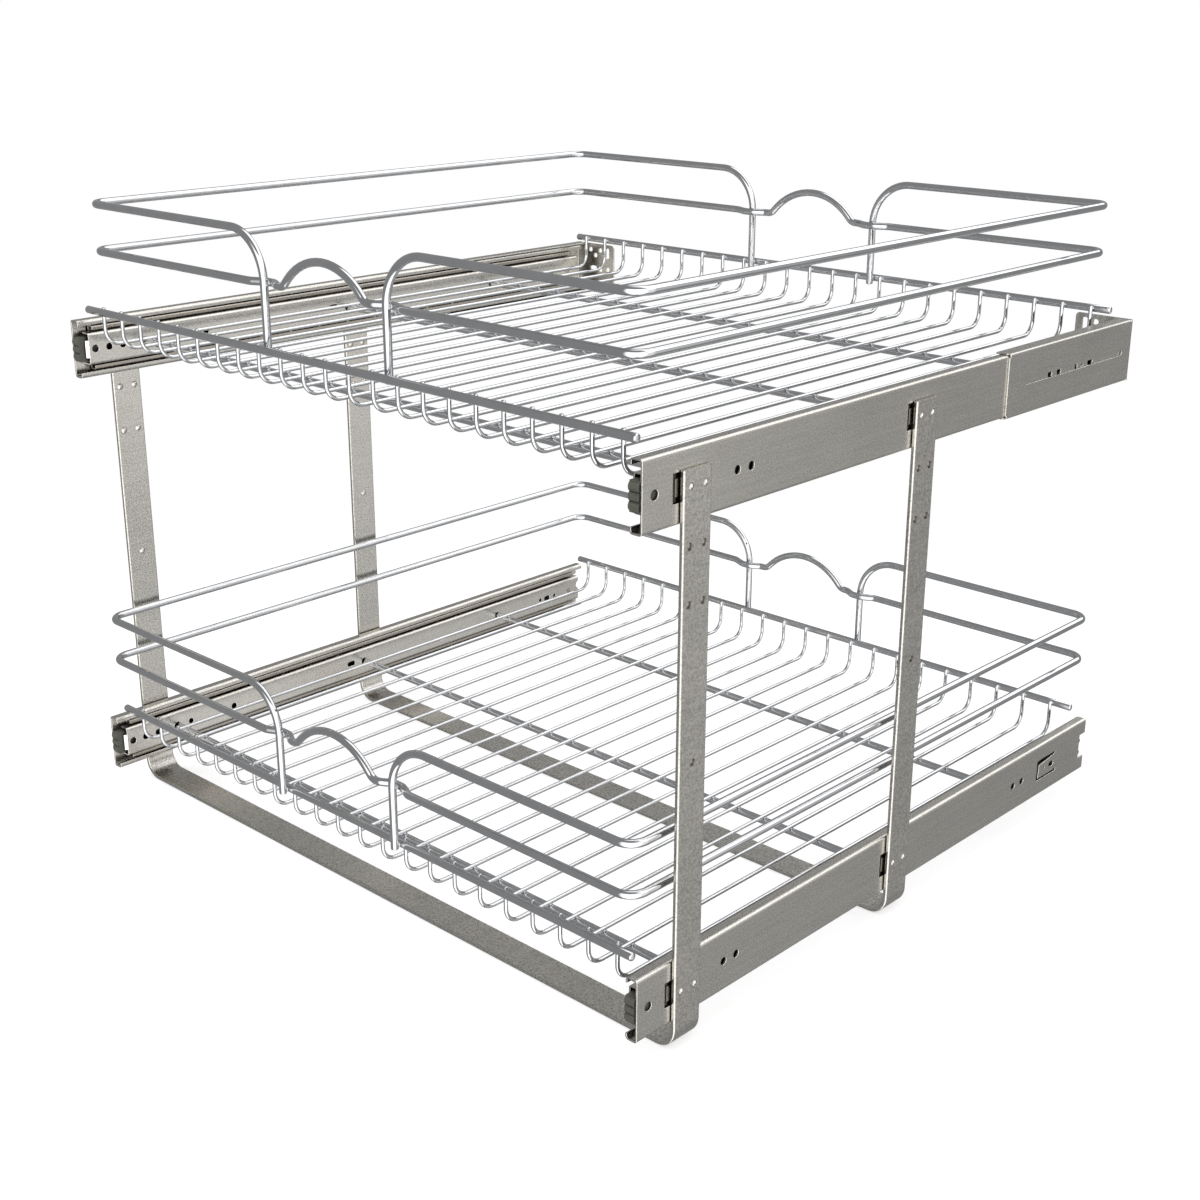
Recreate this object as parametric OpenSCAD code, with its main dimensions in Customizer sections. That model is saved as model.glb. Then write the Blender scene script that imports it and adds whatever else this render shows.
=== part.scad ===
// Two-tier pull-out wire basket for a base cabinet.
// x runs across the unit, y from the slides' front ends to the back, z up.
// The lengths below are measured from the slides' front ends, and the
// heights from the underside of the slides of the same tier.

/* [Frame straps] */
// Width of the unit over the frame straps
frame_w = 603.2; // [570:1:680]
// Width of a strap
strap_w = 25; // [22:0.5:30]
// Thickness of a strap
strap_t = 3.4; // [2.4:0.2:5]
// Radius of a strap's long edges
strap_edge = 1.1; // [0.4:0.1:1.1]
// Inside bend radius at a strap's lower corners
strap_bend = 12; // [6:1:16]
// Clear height between a strap's floor and the lower slides
strap_drop = 17.2; // [15:0.5:40]
// Height of a strap's end above the underside of the upper slides
strap_reach = 32.7; // [28:0.5:44]
// Centre of the front strap
front_strap_y = 44.6; // [42:0.5:50]
// Centre of the rear strap
rear_strap_y = 280.3; // [240:1:320]
// Diameter of the clinch rivets
rivet_d = 5; // [4:0.5:6]
// Distance between the two holes, rivets or pips of a pair
pair_gap = 13; // [11:0.5:14]
// Diameter of the pressed pips
pip_d = 5; // [4:0.5:6]
// Height of a pip over the strap's inner face
pip_h = 1.5; // [0.8:0.1:1.8]
// Drop from the upper slides to the upper pair of pips
pip_drop = 13.8; // [10:0.5:30]
// Distance from the upper to the lower pair of pips
pip_pitch = 36; // [20:1:60]
// Height of the single pip above the lower slides
single_pip_z = 180.5; // [150:1:220]

/* [Tiers] */
// Height from one tier to the next
tier_pitch = 333.8; // [260:1:420]

/* [Slides] */
// Length of the slides
slide_len = 559; // [525:1:700]
// Height of the slides
slide_h = 45.3; // [44:0.1:50]
// Thickness of the closed slide
slide_t = 12.7; // [12.5:0.1:14]
// Depth of the outer member
outer_depth = 9.6; // [9.5:0.1:11]
// Wall of the outer member
outer_wall = 1.2; // [1:0.1:1.4]
// Height of the outer member's lips
outer_lip = 4.3; // [3.8:0.1:4.8]
// Wall of the middle member
middle_wall = 1; // [0.8:0.1:1.2]
// Gap between the outer and middle webs
web_gap = 1.4; // [1.2:0.1:1.6]
// Depth of the middle member's channel
middle_channel = 5.6; // [5.5:0.1:6]
// Height of the middle member's lips
middle_lip = 3.5; // [3:0.1:3.8]
// Wall of the inner member
inner_wall = 1.2; // [1:0.1:1.4]
// Depth of the inner member
inner_depth = 8.1; // [7.6:0.1:8.2]
// Front end of the middle member
middle_front = 12.5; // [10:0.5:14]
// Rear setback of the middle member
middle_back = 13; // [8:1:30]
// Front end of the inner member
inner_front = 6.5; // [5:0.5:8]
// Rear setback of the inner member
inner_back = 8.5; // [6:0.5:20]
// Depth of the folded tab at the inner member's front
inner_tab = 2.8; // [2:0.1:3]
// Diameter of the outer balls
outer_ball = 3.5; // [3:0.1:3.6]
// Diameter of the inner balls
inner_ball = 3.6; // [3:0.1:3.7]
// Clearance between a ball and its race
ball_gap = 0.2; // [0.1:0.05:0.3]
// Number of balls in a row
ball_count = 8; // [4:1:10]
// Thickness of a ball cage
cage_t = 0.45; // [0.4:0.05:0.5]
// Pull-out travel of a basket
travel = 550; // [400:1:600]

/* [Slide openings] */
// Front end of the stop windows ahead of each strap
window_lead = 18.4; // [17.6:0.1:20]
// Length of a stop window
window_len = 8; // [5:0.5:9]
// Height of a stop window
window_h = 18.4; // [10:0.2:20]
// Diameter of the outer member's front hole
front_hole_d = 6.5; // [4:0.5:8]
// Centre of the outer member's front hole
front_hole_y = 10.5; // [8:0.5:14]
// Diameter of the small pilot holes
pilot_d = 5.6; // [3:0.1:6]
// Centre of the front pair of pilot holes
pilot_front_y = 91; // [80:1:110]
// Distance of the rear pair of pilot holes from the slide's rear end
pilot_rear_back = 106.8; // [100:1:150]
// Distance of the latch tongue's front end from the slide's rear end
latch_back = 76.7; // [60:1:84]
// Length of the rear latch tongue
latch_len = 30; // [20:1:40]
// Height of the rear latch tongue
latch_h = 17; // [12:0.5:20]
// Depth of the notch in the outer member's rear end
tail_notch = 8.5; // [4:0.5:12]
// Height of the notch in the outer member's rear end
tail_notch_h = 21; // [14:1:26]

/* [Bumpers] */
// Length of a bumper ahead of the slide
bumper_out = 1.4; // [0.8:0.2:3]
// Length of a bumper behind the slide's front end
bumper_in = 15; // [13:0.5:17]
// Height of a bumper
bumper_h = 19; // [16:0.2:21]
// Depth of a bumper across the slide
bumper_depth = 8; // [6:0.1:8]

/* [Rear brackets] */
// Sheet thickness of a bracket
bracket_t = 1.1; // [0.8:0.1:1.5]
// Length of the sleeve on the slide
sleeve_len = 173.5; // [169:0.5:230]
// Gap between the slide's end and the outside of the back flange
bracket_out = 8; // [5:0.5:30]
// Width of the back flange from the slide's outer face
flange_w = 47.7; // [44:0.5:60]
// Length of the adjusting slot
adjust_len = 143; // [60:1:147]
// Width of the adjusting slot
adjust_w = 4; // [3:0.5:6]
// Diameter of the flange holes
flange_hole_d = 4.5; // [3.5:0.5:5]

/* [Baskets] */
// Diameter of the heavy wires
heavy_d = 5.8; // [5:0.2:6.4]
// Diameter of the floor wires
floor_d = 3; // [2.4:0.2:4]
// Gap left at each weld
weld_gap = 0.05; // [0.03:0.01:0.1]
// Floor wires in the lower basket
lower_count = 22; // [14:1:24]
// Distance from the slides to the outermost floor wires of the lower basket
lower_side_gap = 16.4; // [4:0.1:30]
// Floor wires in the upper basket
upper_count = 23; // [21:2:23]
// Distance from the slides to the outermost floor wires of the upper basket
upper_side_gap = 14.1; // [4:0.1:20]
// Bend radius of the floor wires
floor_bend = 12; // [8:1:16]
// Setback of the front rail
front_rail_y = 9.2; // [8:0.2:16]
// Setback of the rear rail from the slides' rear ends
rear_rail_back = 5.5; // [4:0.5:16]
// Height of the rails above the floor wires
rail_rise = 26.5; // [20:0.5:40]
// Height of the floor wires' front tips above the rail's centre
front_tip = 4; // [2.9:0.1:6]
// Height of the floor wires' rear tips above the rail's centre
rear_tip = 3; // [2.9:0.1:6]
// Overhang of the rails past the slides' inner faces
rail_over = 1.1; // [0:0.1:4]
// Front cross bar
front_bar_y = 56; // [50:1:62]
// Middle cross bar
middle_bar_y = 262; // [240:1:290]
// Rear cross bar
rear_bar_y = 434; // [390:1:440]
// Length of a cross bar's end past the slide's inner face
bar_end = 2.6; // [2:0.1:2.8]
// Height of the top loops above the slides
loop_z = 133.9; // [126:1:180]
// Height of the middle ring above the slides
ring_z = 98.6; // [76:1:106]
// Distance of the posts from the middle of the basket
post_x = 64.5; // [64:0.5:69]
// Bend radius between a post and its loop
post_bend = 35; // [20:1:40]
// Corner radius of the loops and the ring
corner_bend = 13; // [8:1:20]
// Lower basket: the loops stand this far outside the slides' inner faces
lower_loop_out = 4.5; // [0:0.5:5]
// Upper basket: the loops stand this far inside the slides' inner faces
upper_loop_in = 5.7; // [4:0.5:20]
// Length of the lower basket's posts below the rail's centre
lower_post_tail = 10; // [4:0.5:12]
// Length of the upper basket's posts below the rail's centre
upper_post_tail = 5; // [4:0.5:12]

/* [Grips] */
// Half width of the arch in the ring, at its feet
grip_half = 43.2; // [36:0.2:43.6]
// Slope of the arch's flanks, in degrees
grip_slope = 47.7; // [35:0.1:52]
// Radius at the arch's feet
grip_foot = 9; // [5:0.5:9]
// Start of the ring's joggle inside a post
joggle_in = 14.5; // [12:0.5:15]
// End of the ring's joggle outside a post
joggle_out = 16.5; // [14:0.5:24]
// Half length of the ring's straight at a post
joggle_flat = 4.5; // [4:0.5:6]

/* [Hidden] */
$fn = 48;

LEFT = -1;
RIGHT = 1;
LOWER = 0;
UPPER = 1;

// Small sizes of the fits
rivet_clear = 0.1;
rivet_sunk = 0.4;
sleeve_clear = 0.05;
bar_clear = 0.4;
pocket_clear = 0.3;
wire_lap = 0.05;
lap_step = 0.02;
cut_over = 1;

// Places that follow from the sizes above
web_x = frame_w / 2 - strap_t;
face_x = web_x - slide_t;
floor_z = strap_t + strap_drop;
back_y = slide_len + bracket_out;
mid_y = (back_y - bumper_out) / 2;
half_h = slide_h / 2;

// Half heights of the nested members and the levels of the ball rows
outer_ball_v = half_h - outer_wall - ball_gap - outer_ball / 2;
middle_half = outer_ball_v - outer_ball / 2 - ball_gap;
inner_ball_v = middle_half - middle_wall - ball_gap - inner_ball / 2;
inner_half = inner_ball_v - inner_ball / 2 - ball_gap;

// Depths across the slide, from the outer member's web
middle_web = outer_wall + web_gap;
middle_edge = middle_web + middle_wall + middle_channel;
outer_ball_s = outer_wall + 4;
inner_ball_s = middle_edge - middle_wall - ball_gap - inner_ball / 2;
outer_cage_s = outer_wall + web_gap / 2;
inner_cage_s = middle_web + middle_wall + 0.15 + cage_t / 2;

// The cages run half as far as the members on their two sides
cage_len = slide_len - travel / 2 - bumper_in - middle_back - 8;
outer_cage_y = travel / 4 + 8;
inner_cage_y = travel / 4 + bumper_in + 5;
ball_pitch = cage_len / ball_count;

// Levels in a basket
bar_z = half_h;
wire_z = bar_z + (heavy_d + floor_d) / 2 + weld_gap;
rail_z = wire_z + rail_rise;
rear_rail_y = slide_len - rear_rail_back;
leg_off = (heavy_d + floor_d) / 2 + weld_gap;
post_off = heavy_d + weld_gap;
grip_vertex = grip_half * tan(grip_slope);
grip_bend = (grip_half / cos(grip_slope) - grip_foot * tan(grip_slope / 2) - 0.8) / tan(grip_slope);
latch_y = slide_len - latch_back;

STEEL = "#9d9991";
CAGE_STEEL = "#8a8781";
BALL_STEEL = "#c9c9c9";
CHROME = "#b9bbbd";
RUBBER = "#55554f";

// Vectors
function unit(v) = v / norm(v);
function left(v) = [-v[1], v[0]];
function spin(v, a) = [v[0] * cos(a) - v[1] * sin(a), v[0] * sin(a) + v[1] * cos(a)];
function turn(u, w) = atan2(u[0] * w[1] - u[1] * w[0], u * w);

// One face of a folded sheet: its middle line P, bend radii R, offset d
function fold(P, R, d, steps) = [
    for (i = [0 : len(P) - 1]) each
        i == 0 ? [P[0] + d * left(unit(P[1] - P[0]))] :
        i == len(P) - 1 ? [P[i] + d * left(unit(P[i] - P[i - 1]))] :
        let (
            u = unit(P[i] - P[i - 1]),
            a = turn(u, unit(P[i + 1] - P[i])),
            s = sign(a),
            c = P[i] - u * R[i] * tan(abs(a) / 2) + s * R[i] * left(u))
        [for (k = [0 : steps]) c + (R[i] - s * d) * spin(-s * left(u), a * k / steps)]];

function reversed(L) = [for (i = [len(L) - 1 : -1 : 0]) L[i]];
function sheet(P, R, t, steps = 6) =
    concat(fold(P, R, t / 2, steps), reversed(fold(P, R, -t / 2, steps)));

// Extrudes an x-z outline from y0 to y1
module along(y0, y1) {
    translate([0, y1, 0])
        rotate([90, 0, 0])
            linear_extrude(y1 - y0)
                children();
}

// Extrudes a y-z outline across the slide, from depth s0 to s1
module across(s0, s1) {
    translate([s0, 0, 0])
        rotate([90, 0, 90])
            linear_extrude(s1 - s0)
                children();
}

// Round hole across the slide
module hole(y, v, d, s0, s1) {
    translate([s0, y, v])
        rotate([0, 90, 0])
            cylinder(d = d, h = s1 - s0);
}

// Slot across the slide, running along it
module slot(y, v, l, w, s0, s1) {
    for (e = [-1, 1])
        hole(y + e * (l - w) / 2, v, w, s0, s1);
    translate([s0, y - (l - w) / 2, v - w / 2])
        cube([s1 - s0, l - w, w]);
}

// Puts a slide piece in its place; its depth runs inwards from the outer web
module at_slide(side, tier) {
    translate([side * web_x, -mid_y, floor_z + tier * tier_pitch + half_h])
        mirror([side > 0 ? 1 : 0, 0, 0])
            children();
}

// Puts a basket piece in its place; z runs up from the slides' underside
module at_basket(tier) {
    translate([0, -mid_y, floor_z + tier * tier_pitch])
        children();
}

// ---- Frame straps

// Flat bar with rounded long edges, bent up at both ends
module strap(y) {
    color(STEEL)
        translate([0, -mid_y, 0])
            difference() {
                union() {
                    translate([0, y, 0])
                        bent_bar();
                    at_pips(y) pip_dome();
                }
                at_pips(y) pip_recess();
                for (k = [-1, 1], tier = [LOWER, UPPER])
                    at_arms(y + k * pair_gap / 2, tier * tier_pitch + half_h)
                        translate([-cut_over, 0, 0])
                            rotate([0, 90, 0])
                                cylinder(d = rivet_d + rivet_clear, h = strap_t + 2 * cut_over);
            }
}

// The bar's floor and its two arms, with an elbow between each two
module bent_bar() {
    x = web_x - strap_bend;
    z = strap_t + strap_bend;
    for (side = [LEFT, RIGHT]) {
        translate([side * (web_x + strap_t / 2), 0, z - wire_lap])
            linear_extrude(floor_z + tier_pitch + strap_reach - z + wire_lap)
                bar_section(strap_t, strap_w);
        translate([side * x, 0, z])
            rotate([90, 0, 0])
                rotate([0, 0, side > 0 ? 270 : 180])
                    rotate_extrude(angle = 90)
                        translate([strap_bend + strap_t / 2, 0])
                            bar_section(strap_t - lap_step, strap_w - lap_step);
    }
    translate([-x - wire_lap, 0, strap_t / 2])
        rotate([0, 90, 0])
            linear_extrude(2 * (x + wire_lap))
                bar_section(strap_t, strap_w);
}

// Section of the bar, rounded at its four edges
module bar_section(t, w) {
    square([t, w - 2 * strap_edge], center = true);
    square([t - 2 * strap_edge, w], center = true);
    for (i = [-1, 1], k = [-1, 1])
        translate([i * (t / 2 - strap_edge), k * (w / 2 - strap_edge)])
            circle(r = strap_edge);
}

// The same place on the inner faces of both arms; x runs outwards
module at_arms(y, z) {
    for (side = [LEFT, RIGHT])
        translate([side * web_x, y, floor_z + z])
            mirror([side > 0 ? 0 : 1, 0, 0])
                children();
}

// Two pairs of pips under the upper slide and a single one lower down
module at_pips(y) {
    for (k = [-1, 1], z = [pip_drop, pip_drop + pip_pitch])
        at_arms(y + k * pair_gap / 2, tier_pitch - z)
            children();
    at_arms(y, single_pip_z)
        children();
}

// A pip is pressed in from the outer face and stands out on the inner one
module pip_dome() {
    r = (pip_d * pip_d / 4 + pip_h * pip_h) / (2 * pip_h);
    intersection() {
        translate([r - pip_h, 0, 0])
            sphere(r = r);
        translate([-3, -5, -5])
            cube([4, 10, 10]);
    }
}

// Hollow that the press leaves on the outer face
module pip_recess() {
    translate([strap_t - pip_h, 0, 0])
        rotate([0, 90, 0])
            cylinder(d = pip_d, h = pip_h + 4);
}

// Clinch rivets through strap and slide, sunk a little and dimpled at their outer ends
module rivets(y) {
    color(STEEL)
        for (side = [LEFT, RIGHT], tier = [LOWER, UPPER], k = [-1, 1])
            at_slide(side, tier)
                difference() {
                    hole(y + k * pair_gap / 2, 0, rivet_d, rivet_sunk - strap_t, outer_wall);
                    translate([rivet_sunk - strap_t - rivet_d * 0.18, y + k * pair_gap / 2, 0])
                        sphere(r = rivet_d * 0.42);
                }
}

// ---- Slides

// Member on the straps, which runs round both rows of outer balls
module outer_member(side, tier) {
    s = outer_depth - outer_wall / 2;
    w = outer_wall / 2;
    v = half_h - outer_wall / 2;
    p = [[s, -half_h + outer_lip], [s, -v], [w, -v], [w, v], [s, v], [s, half_h - outer_lip]];
    color(STEEL)
        at_slide(side, tier)
            difference() {
                along(0, slide_len)
                    polygon(sheet(p, [0, 1.9, 1.6, 1.6, 1.9, 0], outer_wall));
                outer_cuts();
            }
}

// Everything punched in the outer member's web
module outer_cuts() {
    s0 = -cut_over;
    s1 = outer_wall + cut_over;
    hole(front_hole_y, 0, front_hole_d, s0, s1);
    for (y = [front_strap_y, rear_strap_y]) {
        translate([s0, y - window_lead, -window_h / 2])
            cube([s1 - s0, window_len, window_h]);
        for (k = [-1, 1])
            hole(y + k * pair_gap / 2, 0, rivet_d + rivet_clear, s0, s1);
    }
    for (y = [pilot_front_y, slide_len - pilot_rear_back], k = [-1, 1])
        hole(y + k * pair_gap / 2, 0, pilot_d, s0, s1);
    latch_cut(s0, s1);
    tail_cut(s0, s1);
}

// Slit that frees the latch tongue, and the holes in it
module latch_cut(s0, s1) {
    across(s0, s1)
        polygon([
            [latch_y, latch_h / 2 + 1], [latch_y, -latch_h / 2],
            [latch_y + latch_len, -latch_h / 2], [latch_y + latch_len, -latch_h / 2 + 1.7],
            [latch_y + 2.6, -latch_h / 2 + 1.7], [latch_y + 3.4, latch_h / 2 - 4],
            [latch_y + latch_len - 4, latch_h / 2 - 1], [latch_y + latch_len, latch_h / 2 + 1]]);
    hole(latch_y + latch_len - 1, -latch_h / 2 + 1.2, 3.2, s0, s1);
    hole(latch_y + latch_len * 0.37, 0, 2.4, s0, s1);
    slot(latch_y + latch_len * 0.75, 0, 7.5, 4.4, s0, s1);
}

// Notch in the web's rear end, with two round teeth
module tail_cut(s0, s1) {
    difference() {
        translate([s0, slide_len - tail_notch, -tail_notch_h / 2])
            cube([s1 - s0, tail_notch + cut_over, tail_notch_h]);
        for (k = [-1, 1])
            hole(slide_len - tail_notch - 0.4, k * tail_notch_h / 4, 4, s0 - 1, s1 + 1);
    }
}

// Member that follows the basket at half its speed
module middle_member(side, tier) {
    s = middle_edge - middle_wall / 2;
    w = middle_web + middle_wall / 2;
    v = middle_half - middle_wall / 2;
    l = middle_half - middle_lip;
    p = [[s, -l], [s, -v], [w, -v], [w, v], [s, v], [s, l]];
    color(STEEL)
        at_slide(side, tier)
            difference() {
                along(middle_front, slide_len - middle_back)
                    polygon(sheet(p, [0, 1.3, 1.3, 1.3, 1.3, 0], middle_wall));
                for (y = [front_strap_y, rear_strap_y])
                    translate([middle_web - cut_over / 2, y - window_lead - 4, -window_h / 2])
                        cube([middle_wall + cut_over, window_len + 1, window_h]);
            }
}

// Member that carries the basket, with a folded tab at its front
module inner_member(side, tier) {
    w = slide_t - inner_wall / 2;
    v = inner_half - inner_wall / 2;
    tip = slide_t - inner_depth;
    p = [[tip, -v], [w, -v], [w, v], [tip, v]];
    color(STEEL)
        at_slide(side, tier)
            difference() {
                union() {
                    along(inner_front, slide_len - inner_back)
                        polygon(sheet(p, [0, 1.6, 1.6, 0], inner_wall));
                    translate([slide_t - inner_tab, inner_front, -window_h * 0.42])
                        cube([inner_tab - inner_wall / 2, inner_wall, window_h * 0.84]);
                }
                inner_cuts();
            }
}

// Everything punched in the inner member's web
module inner_cuts() {
    s0 = slide_t - inner_wall - cut_over / 2;
    s1 = slide_t + cut_over;
    for (y = [front_bar_y, middle_bar_y, rear_bar_y])
        hole(y, 0, heavy_d + bar_clear, s0, s1);
    hole(inner_front + 5.5, 0, 6, s0, s1);
    for (d = [17.8, 30.1, 108])
        hole(inner_front + d, 0, 5.5, s0, s1);
    hole(inner_front + 63.1, 0, 4.6, s0, s1);
    slot(middle_bar_y - 15.5, 1.6, 9, 4.6, s0, s1);
    slot(middle_bar_y + 98, -4.4, 7.2, 2.8, s0, s1);
    slot(slide_len - 54.5, 0, 8, 4.6, s0, s1);
    for (d = [64, 43.5])
        hole(slide_len - d, 0, 3.6, s0, s1);
    hole(slide_len - 22, 0, 5.5, s0, s1);
    hole(slide_len - inner_back + 1, 3.5, 8, s0, s1);
}

// A cage is a thin channel whose arms carry the ball pockets
module cage(side, tier, y0, web_s, tip_s, row_s, row_v, ball) {
    p = [[tip_s, -row_v], [web_s, -row_v], [web_s, row_v], [tip_s, row_v]];
    color(CAGE_STEEL)
        at_slide(side, tier)
            difference() {
                along(y0, y0 + cage_len)
                    polygon(sheet(p, [0, 0.6, 0.6, 0], cage_t, 3));
                at_balls(y0, row_s, row_v)
                    cylinder(d = ball + pocket_clear, h = 3 * cage_t, center = true);
            }
}

// Places of the balls in the upper and lower row
module at_balls(y0, row_s, row_v) {
    for (k = [0 : ball_count - 1], e = [-1, 1])
        translate([row_s, y0 + (k + 0.5) * ball_pitch, e * row_v])
            children();
}

module outer_cage(side, tier) {
    tip = outer_depth - outer_wall - 0.5;
    cage(side, tier, outer_cage_y, outer_cage_s, tip, outer_ball_s, outer_ball_v, outer_ball);
}

module inner_cage(side, tier) {
    tip = middle_edge - middle_wall - 0.3;
    cage(side, tier, inner_cage_y, inner_cage_s, tip, inner_ball_s, inner_ball_v, inner_ball);
}

module outer_balls(side, tier) {
    color(BALL_STEEL)
        at_slide(side, tier)
            at_balls(outer_cage_y, outer_ball_s, outer_ball_v)
                sphere(d = outer_ball);
}

module inner_balls(side, tier) {
    color(BALL_STEEL)
        at_slide(side, tier)
            at_balls(inner_cage_y, inner_ball_s, inner_ball_v)
                sphere(d = inner_ball);
}

// Rubber nose clipped on the front edge of the middle member's web
module bumper(side, tier) {
    s0 = outer_wall + 0.4;
    r = bumper_h / 5;
    color(RUBBER)
        at_slide(side, tier)
            difference() {
                union() {
                    translate([s0, 0, -bumper_h / 2])
                        cube([bumper_depth, bumper_in, bumper_h]);
                    for (k = [-1 : 1])
                        hole(r - bumper_out, k * (bumper_h / 2 - r), 2 * r, s0, s0 + bumper_depth);
                }
                translate([middle_web - 0.05, middle_front - 0.05, -half_h])
                    cube([middle_wall + 0.1, slide_len, slide_h]);
            }
}

// ---- Rear brackets

// Sleeve on the slide's rear end, with a flange turned towards the middle
module bracket(side, tier) {
    e = sleeve_clear + bracket_t / 2;
    v = half_h + e;
    p = [[outer_depth + 0.6, -v], [-e, -v], [-e, v], [outer_depth + 0.6, v]];
    b = bracket_t / 2 + 1;
    y1 = back_y - bracket_t / 2;
    top = v + bracket_t / 2;
    color(STEEL)
        at_slide(side, tier)
            difference() {
                union() {
                    along(slide_len - sleeve_len, back_y - 3)
                        polygon(sheet(p, [0, 1.2, 1.2, 0], bracket_t));
                    translate([0, 0, -top])
                        linear_extrude(2 * top)
                            polygon(sheet([[-e, back_y - 3], [-e, y1], [3, y1]], [0, b, 0], bracket_t));
                    flange_plate(top);
                }
                slot(slide_len - sleeve_len + 23.5 + adjust_len / 2, 0, adjust_len, adjust_w, -3, 0);
                for (k = [-1, 1])
                    translate([0, slide_len - sleeve_len, k * half_h])
                        cube([3, 3, 3], center = true);
                flange_holes();
            }
}

// Back flange with its two rounded free corners
module flange_plate(top) {
    r = 3;
    along(back_y - bracket_t, back_y) {
        translate([3, -top])
            square([flange_w - 3 - r, 2 * top]);
        translate([flange_w - r - 1, -top + r])
            square([r + 1, 2 * (top - r)]);
        for (k = [-1, 1])
            translate([flange_w - r, k * (top - r)])
                circle(r = r);
    }
}

// Round and slotted holes in the back flange
module flange_holes() {
    for (p = [[17, 17.9], [30, 17.9], [23.5, 12.7], [30.2, -1], [40, 0], [38, -12.4]])
        flange_hole(p[0], p[1], flange_hole_d);
    for (k = [-1, 1]) {
        flange_hole(39.4, 15.5 + k * 3, flange_hole_d);
        flange_hole(21 + k * 2, 0, flange_hole_d);
    }
    translate([39.4 - flange_hole_d / 2, back_y - bracket_t - 1, 12.5])
        cube([flange_hole_d, bracket_t + 2, 6]);
    translate([19, back_y - bracket_t - 1, -flange_hole_d / 2])
        cube([4, bracket_t + 2, flange_hole_d]);
}

module flange_hole(s, v, d) {
    translate([s, back_y + cut_over, v])
        rotate([90, 0, 0])
            cylinder(d = d, h = bracket_t + 2 * cut_over);
}

// ---- Bent wires

// Angle of the bend at point i, and the length it takes from each straight
function bend(P, i) = acos(max(-1, min(1, unit(P[i] - P[i - 1]) * unit(P[i + 1] - P[i]))));
function setback(P, R, i) = R[i] * tan(bend(P, i) / 2);

// Straight length of wire
module straight(a, b, d) {
    v = b - a;
    translate(a)
        rotate([0, acos(v[2] / norm(v)), atan2(v[1], v[0])])
            cylinder(d = d, h = norm(v));
}

// Bend of a wire at point i, a hair thinner than its straights
module elbow(P, R, i, d) {
    u = unit(P[i] - P[i - 1]);
    w = unit(P[i + 1] - P[i]);
    n = unit(cross(u, w));
    e = cross(u, n);
    c = P[i] - u * setback(P, R, i) - e * R[i];
    multmatrix([
        [e[0], u[0], n[0], c[0]],
        [e[1], u[1], n[1], c[1]],
        [e[2], u[2], n[2], c[2]],
        [0, 0, 0, 1]])
        rotate_extrude(angle = bend(P, i))
            translate([R[i], 0])
                circle(d = d - lap_step);
}

// Wire along the points P with the bend radii R; the straights lap the bends
module wire(P, R, d) {
    n = len(P) - 1;
    for (i = [0 : n - 1]) {
        u = unit(P[i + 1] - P[i]);
        a = i == 0 ? 0 : setback(P, R, i) - wire_lap;
        b = i == n - 1 ? 0 : setback(P, R, i + 1) - wire_lap;
        straight(P[i] + u * a, P[i + 1] - u * b, d);
    }
    for (i = [1 : n - 1])
        elbow(P, R, i, d);
}

// Closed wire: the first two points come again at the end of the list
module closed_wire(P, R, d) {
    n = len(P);
    Q = concat(P, [P[0], P[1]]);
    S = concat(R, [R[0], R[1]]);
    for (i = [1 : n]) {
        u = unit(Q[i] - Q[i - 1]);
        a = i == 1 ? setback(Q, S, n) : setback(Q, S, i - 1);
        b = setback(Q, S, i);
        straight(Q[i - 1] + u * (a - wire_lap), Q[i] - u * (b - wire_lap), d);
        elbow(Q, S, i, d);
    }
}

// ---- Baskets

// Half width of the loops and the ring, and the plane of the posts
function loop_x(tier) = tier == LOWER ? face_x + lower_loop_out : face_x - upper_loop_in;
function post_side(tier) = tier == LOWER ? -1 : 1;
function front_post_y(tier) = front_rail_y + post_side(tier) * post_off;
function rear_post_y(tier) = rear_rail_y - post_side(tier) * post_off;
function post_foot(tier) = rail_z - (tier == LOWER ? lower_post_tail : upper_post_tail);
function wire_count(tier) = tier == LOWER ? lower_count : upper_count;
function side_gap(tier) = tier == LOWER ? lower_side_gap : upper_side_gap;
function wire_pitch(tier) = 2 * (face_x - side_gap(tier)) / (wire_count(tier) - 1);

// Wires along the floor, bent up behind the front rail and before the rear one
module floor_wires(tier) {
    n = wire_count(tier);
    y0 = front_rail_y + leg_off;
    y1 = rear_rail_y - leg_off;
    color(CHROME)
        at_basket(tier)
            for (i = [0 : n - 1]) {
                x = (i - (n - 1) / 2) * wire_pitch(tier);
                p = [
                    [x, y0, rail_z + front_tip],
                    [x, y0, wire_z],
                    [x, y1, wire_z],
                    [x, y1, rail_z + rear_tip]];
                wire(p, [0, floor_bend, floor_bend, 0], floor_d);
            }
}

// Straight wire across the basket at the floor wires' tips
module rail(tier, y) {
    l = face_x + rail_over;
    color(CHROME)
        at_basket(tier)
            straight([-l, y, rail_z], [l, y, rail_z], heavy_d);
}

// Bars under the floor, whose pointed ends sit in the slides' inner members
module cross_bars(tier) {
    color(CHROME)
        at_basket(tier)
            for (y = [front_bar_y, middle_bar_y, rear_bar_y], side = [LEFT, RIGHT])
                half_bar(y, side);
}

// Half of a cross bar, from the middle of the basket to its pointed end
module half_bar(y, side) {
    l = face_x + bar_end;
    translate([0, y, bar_z])
        rotate([0, side * 90, 0])
            rotate_extrude()
                polygon([[0, 0], [heavy_d / 2, 0], [heavy_d / 2, l - 1.4], [heavy_d / 4, l], [0, l]]);
}

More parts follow.
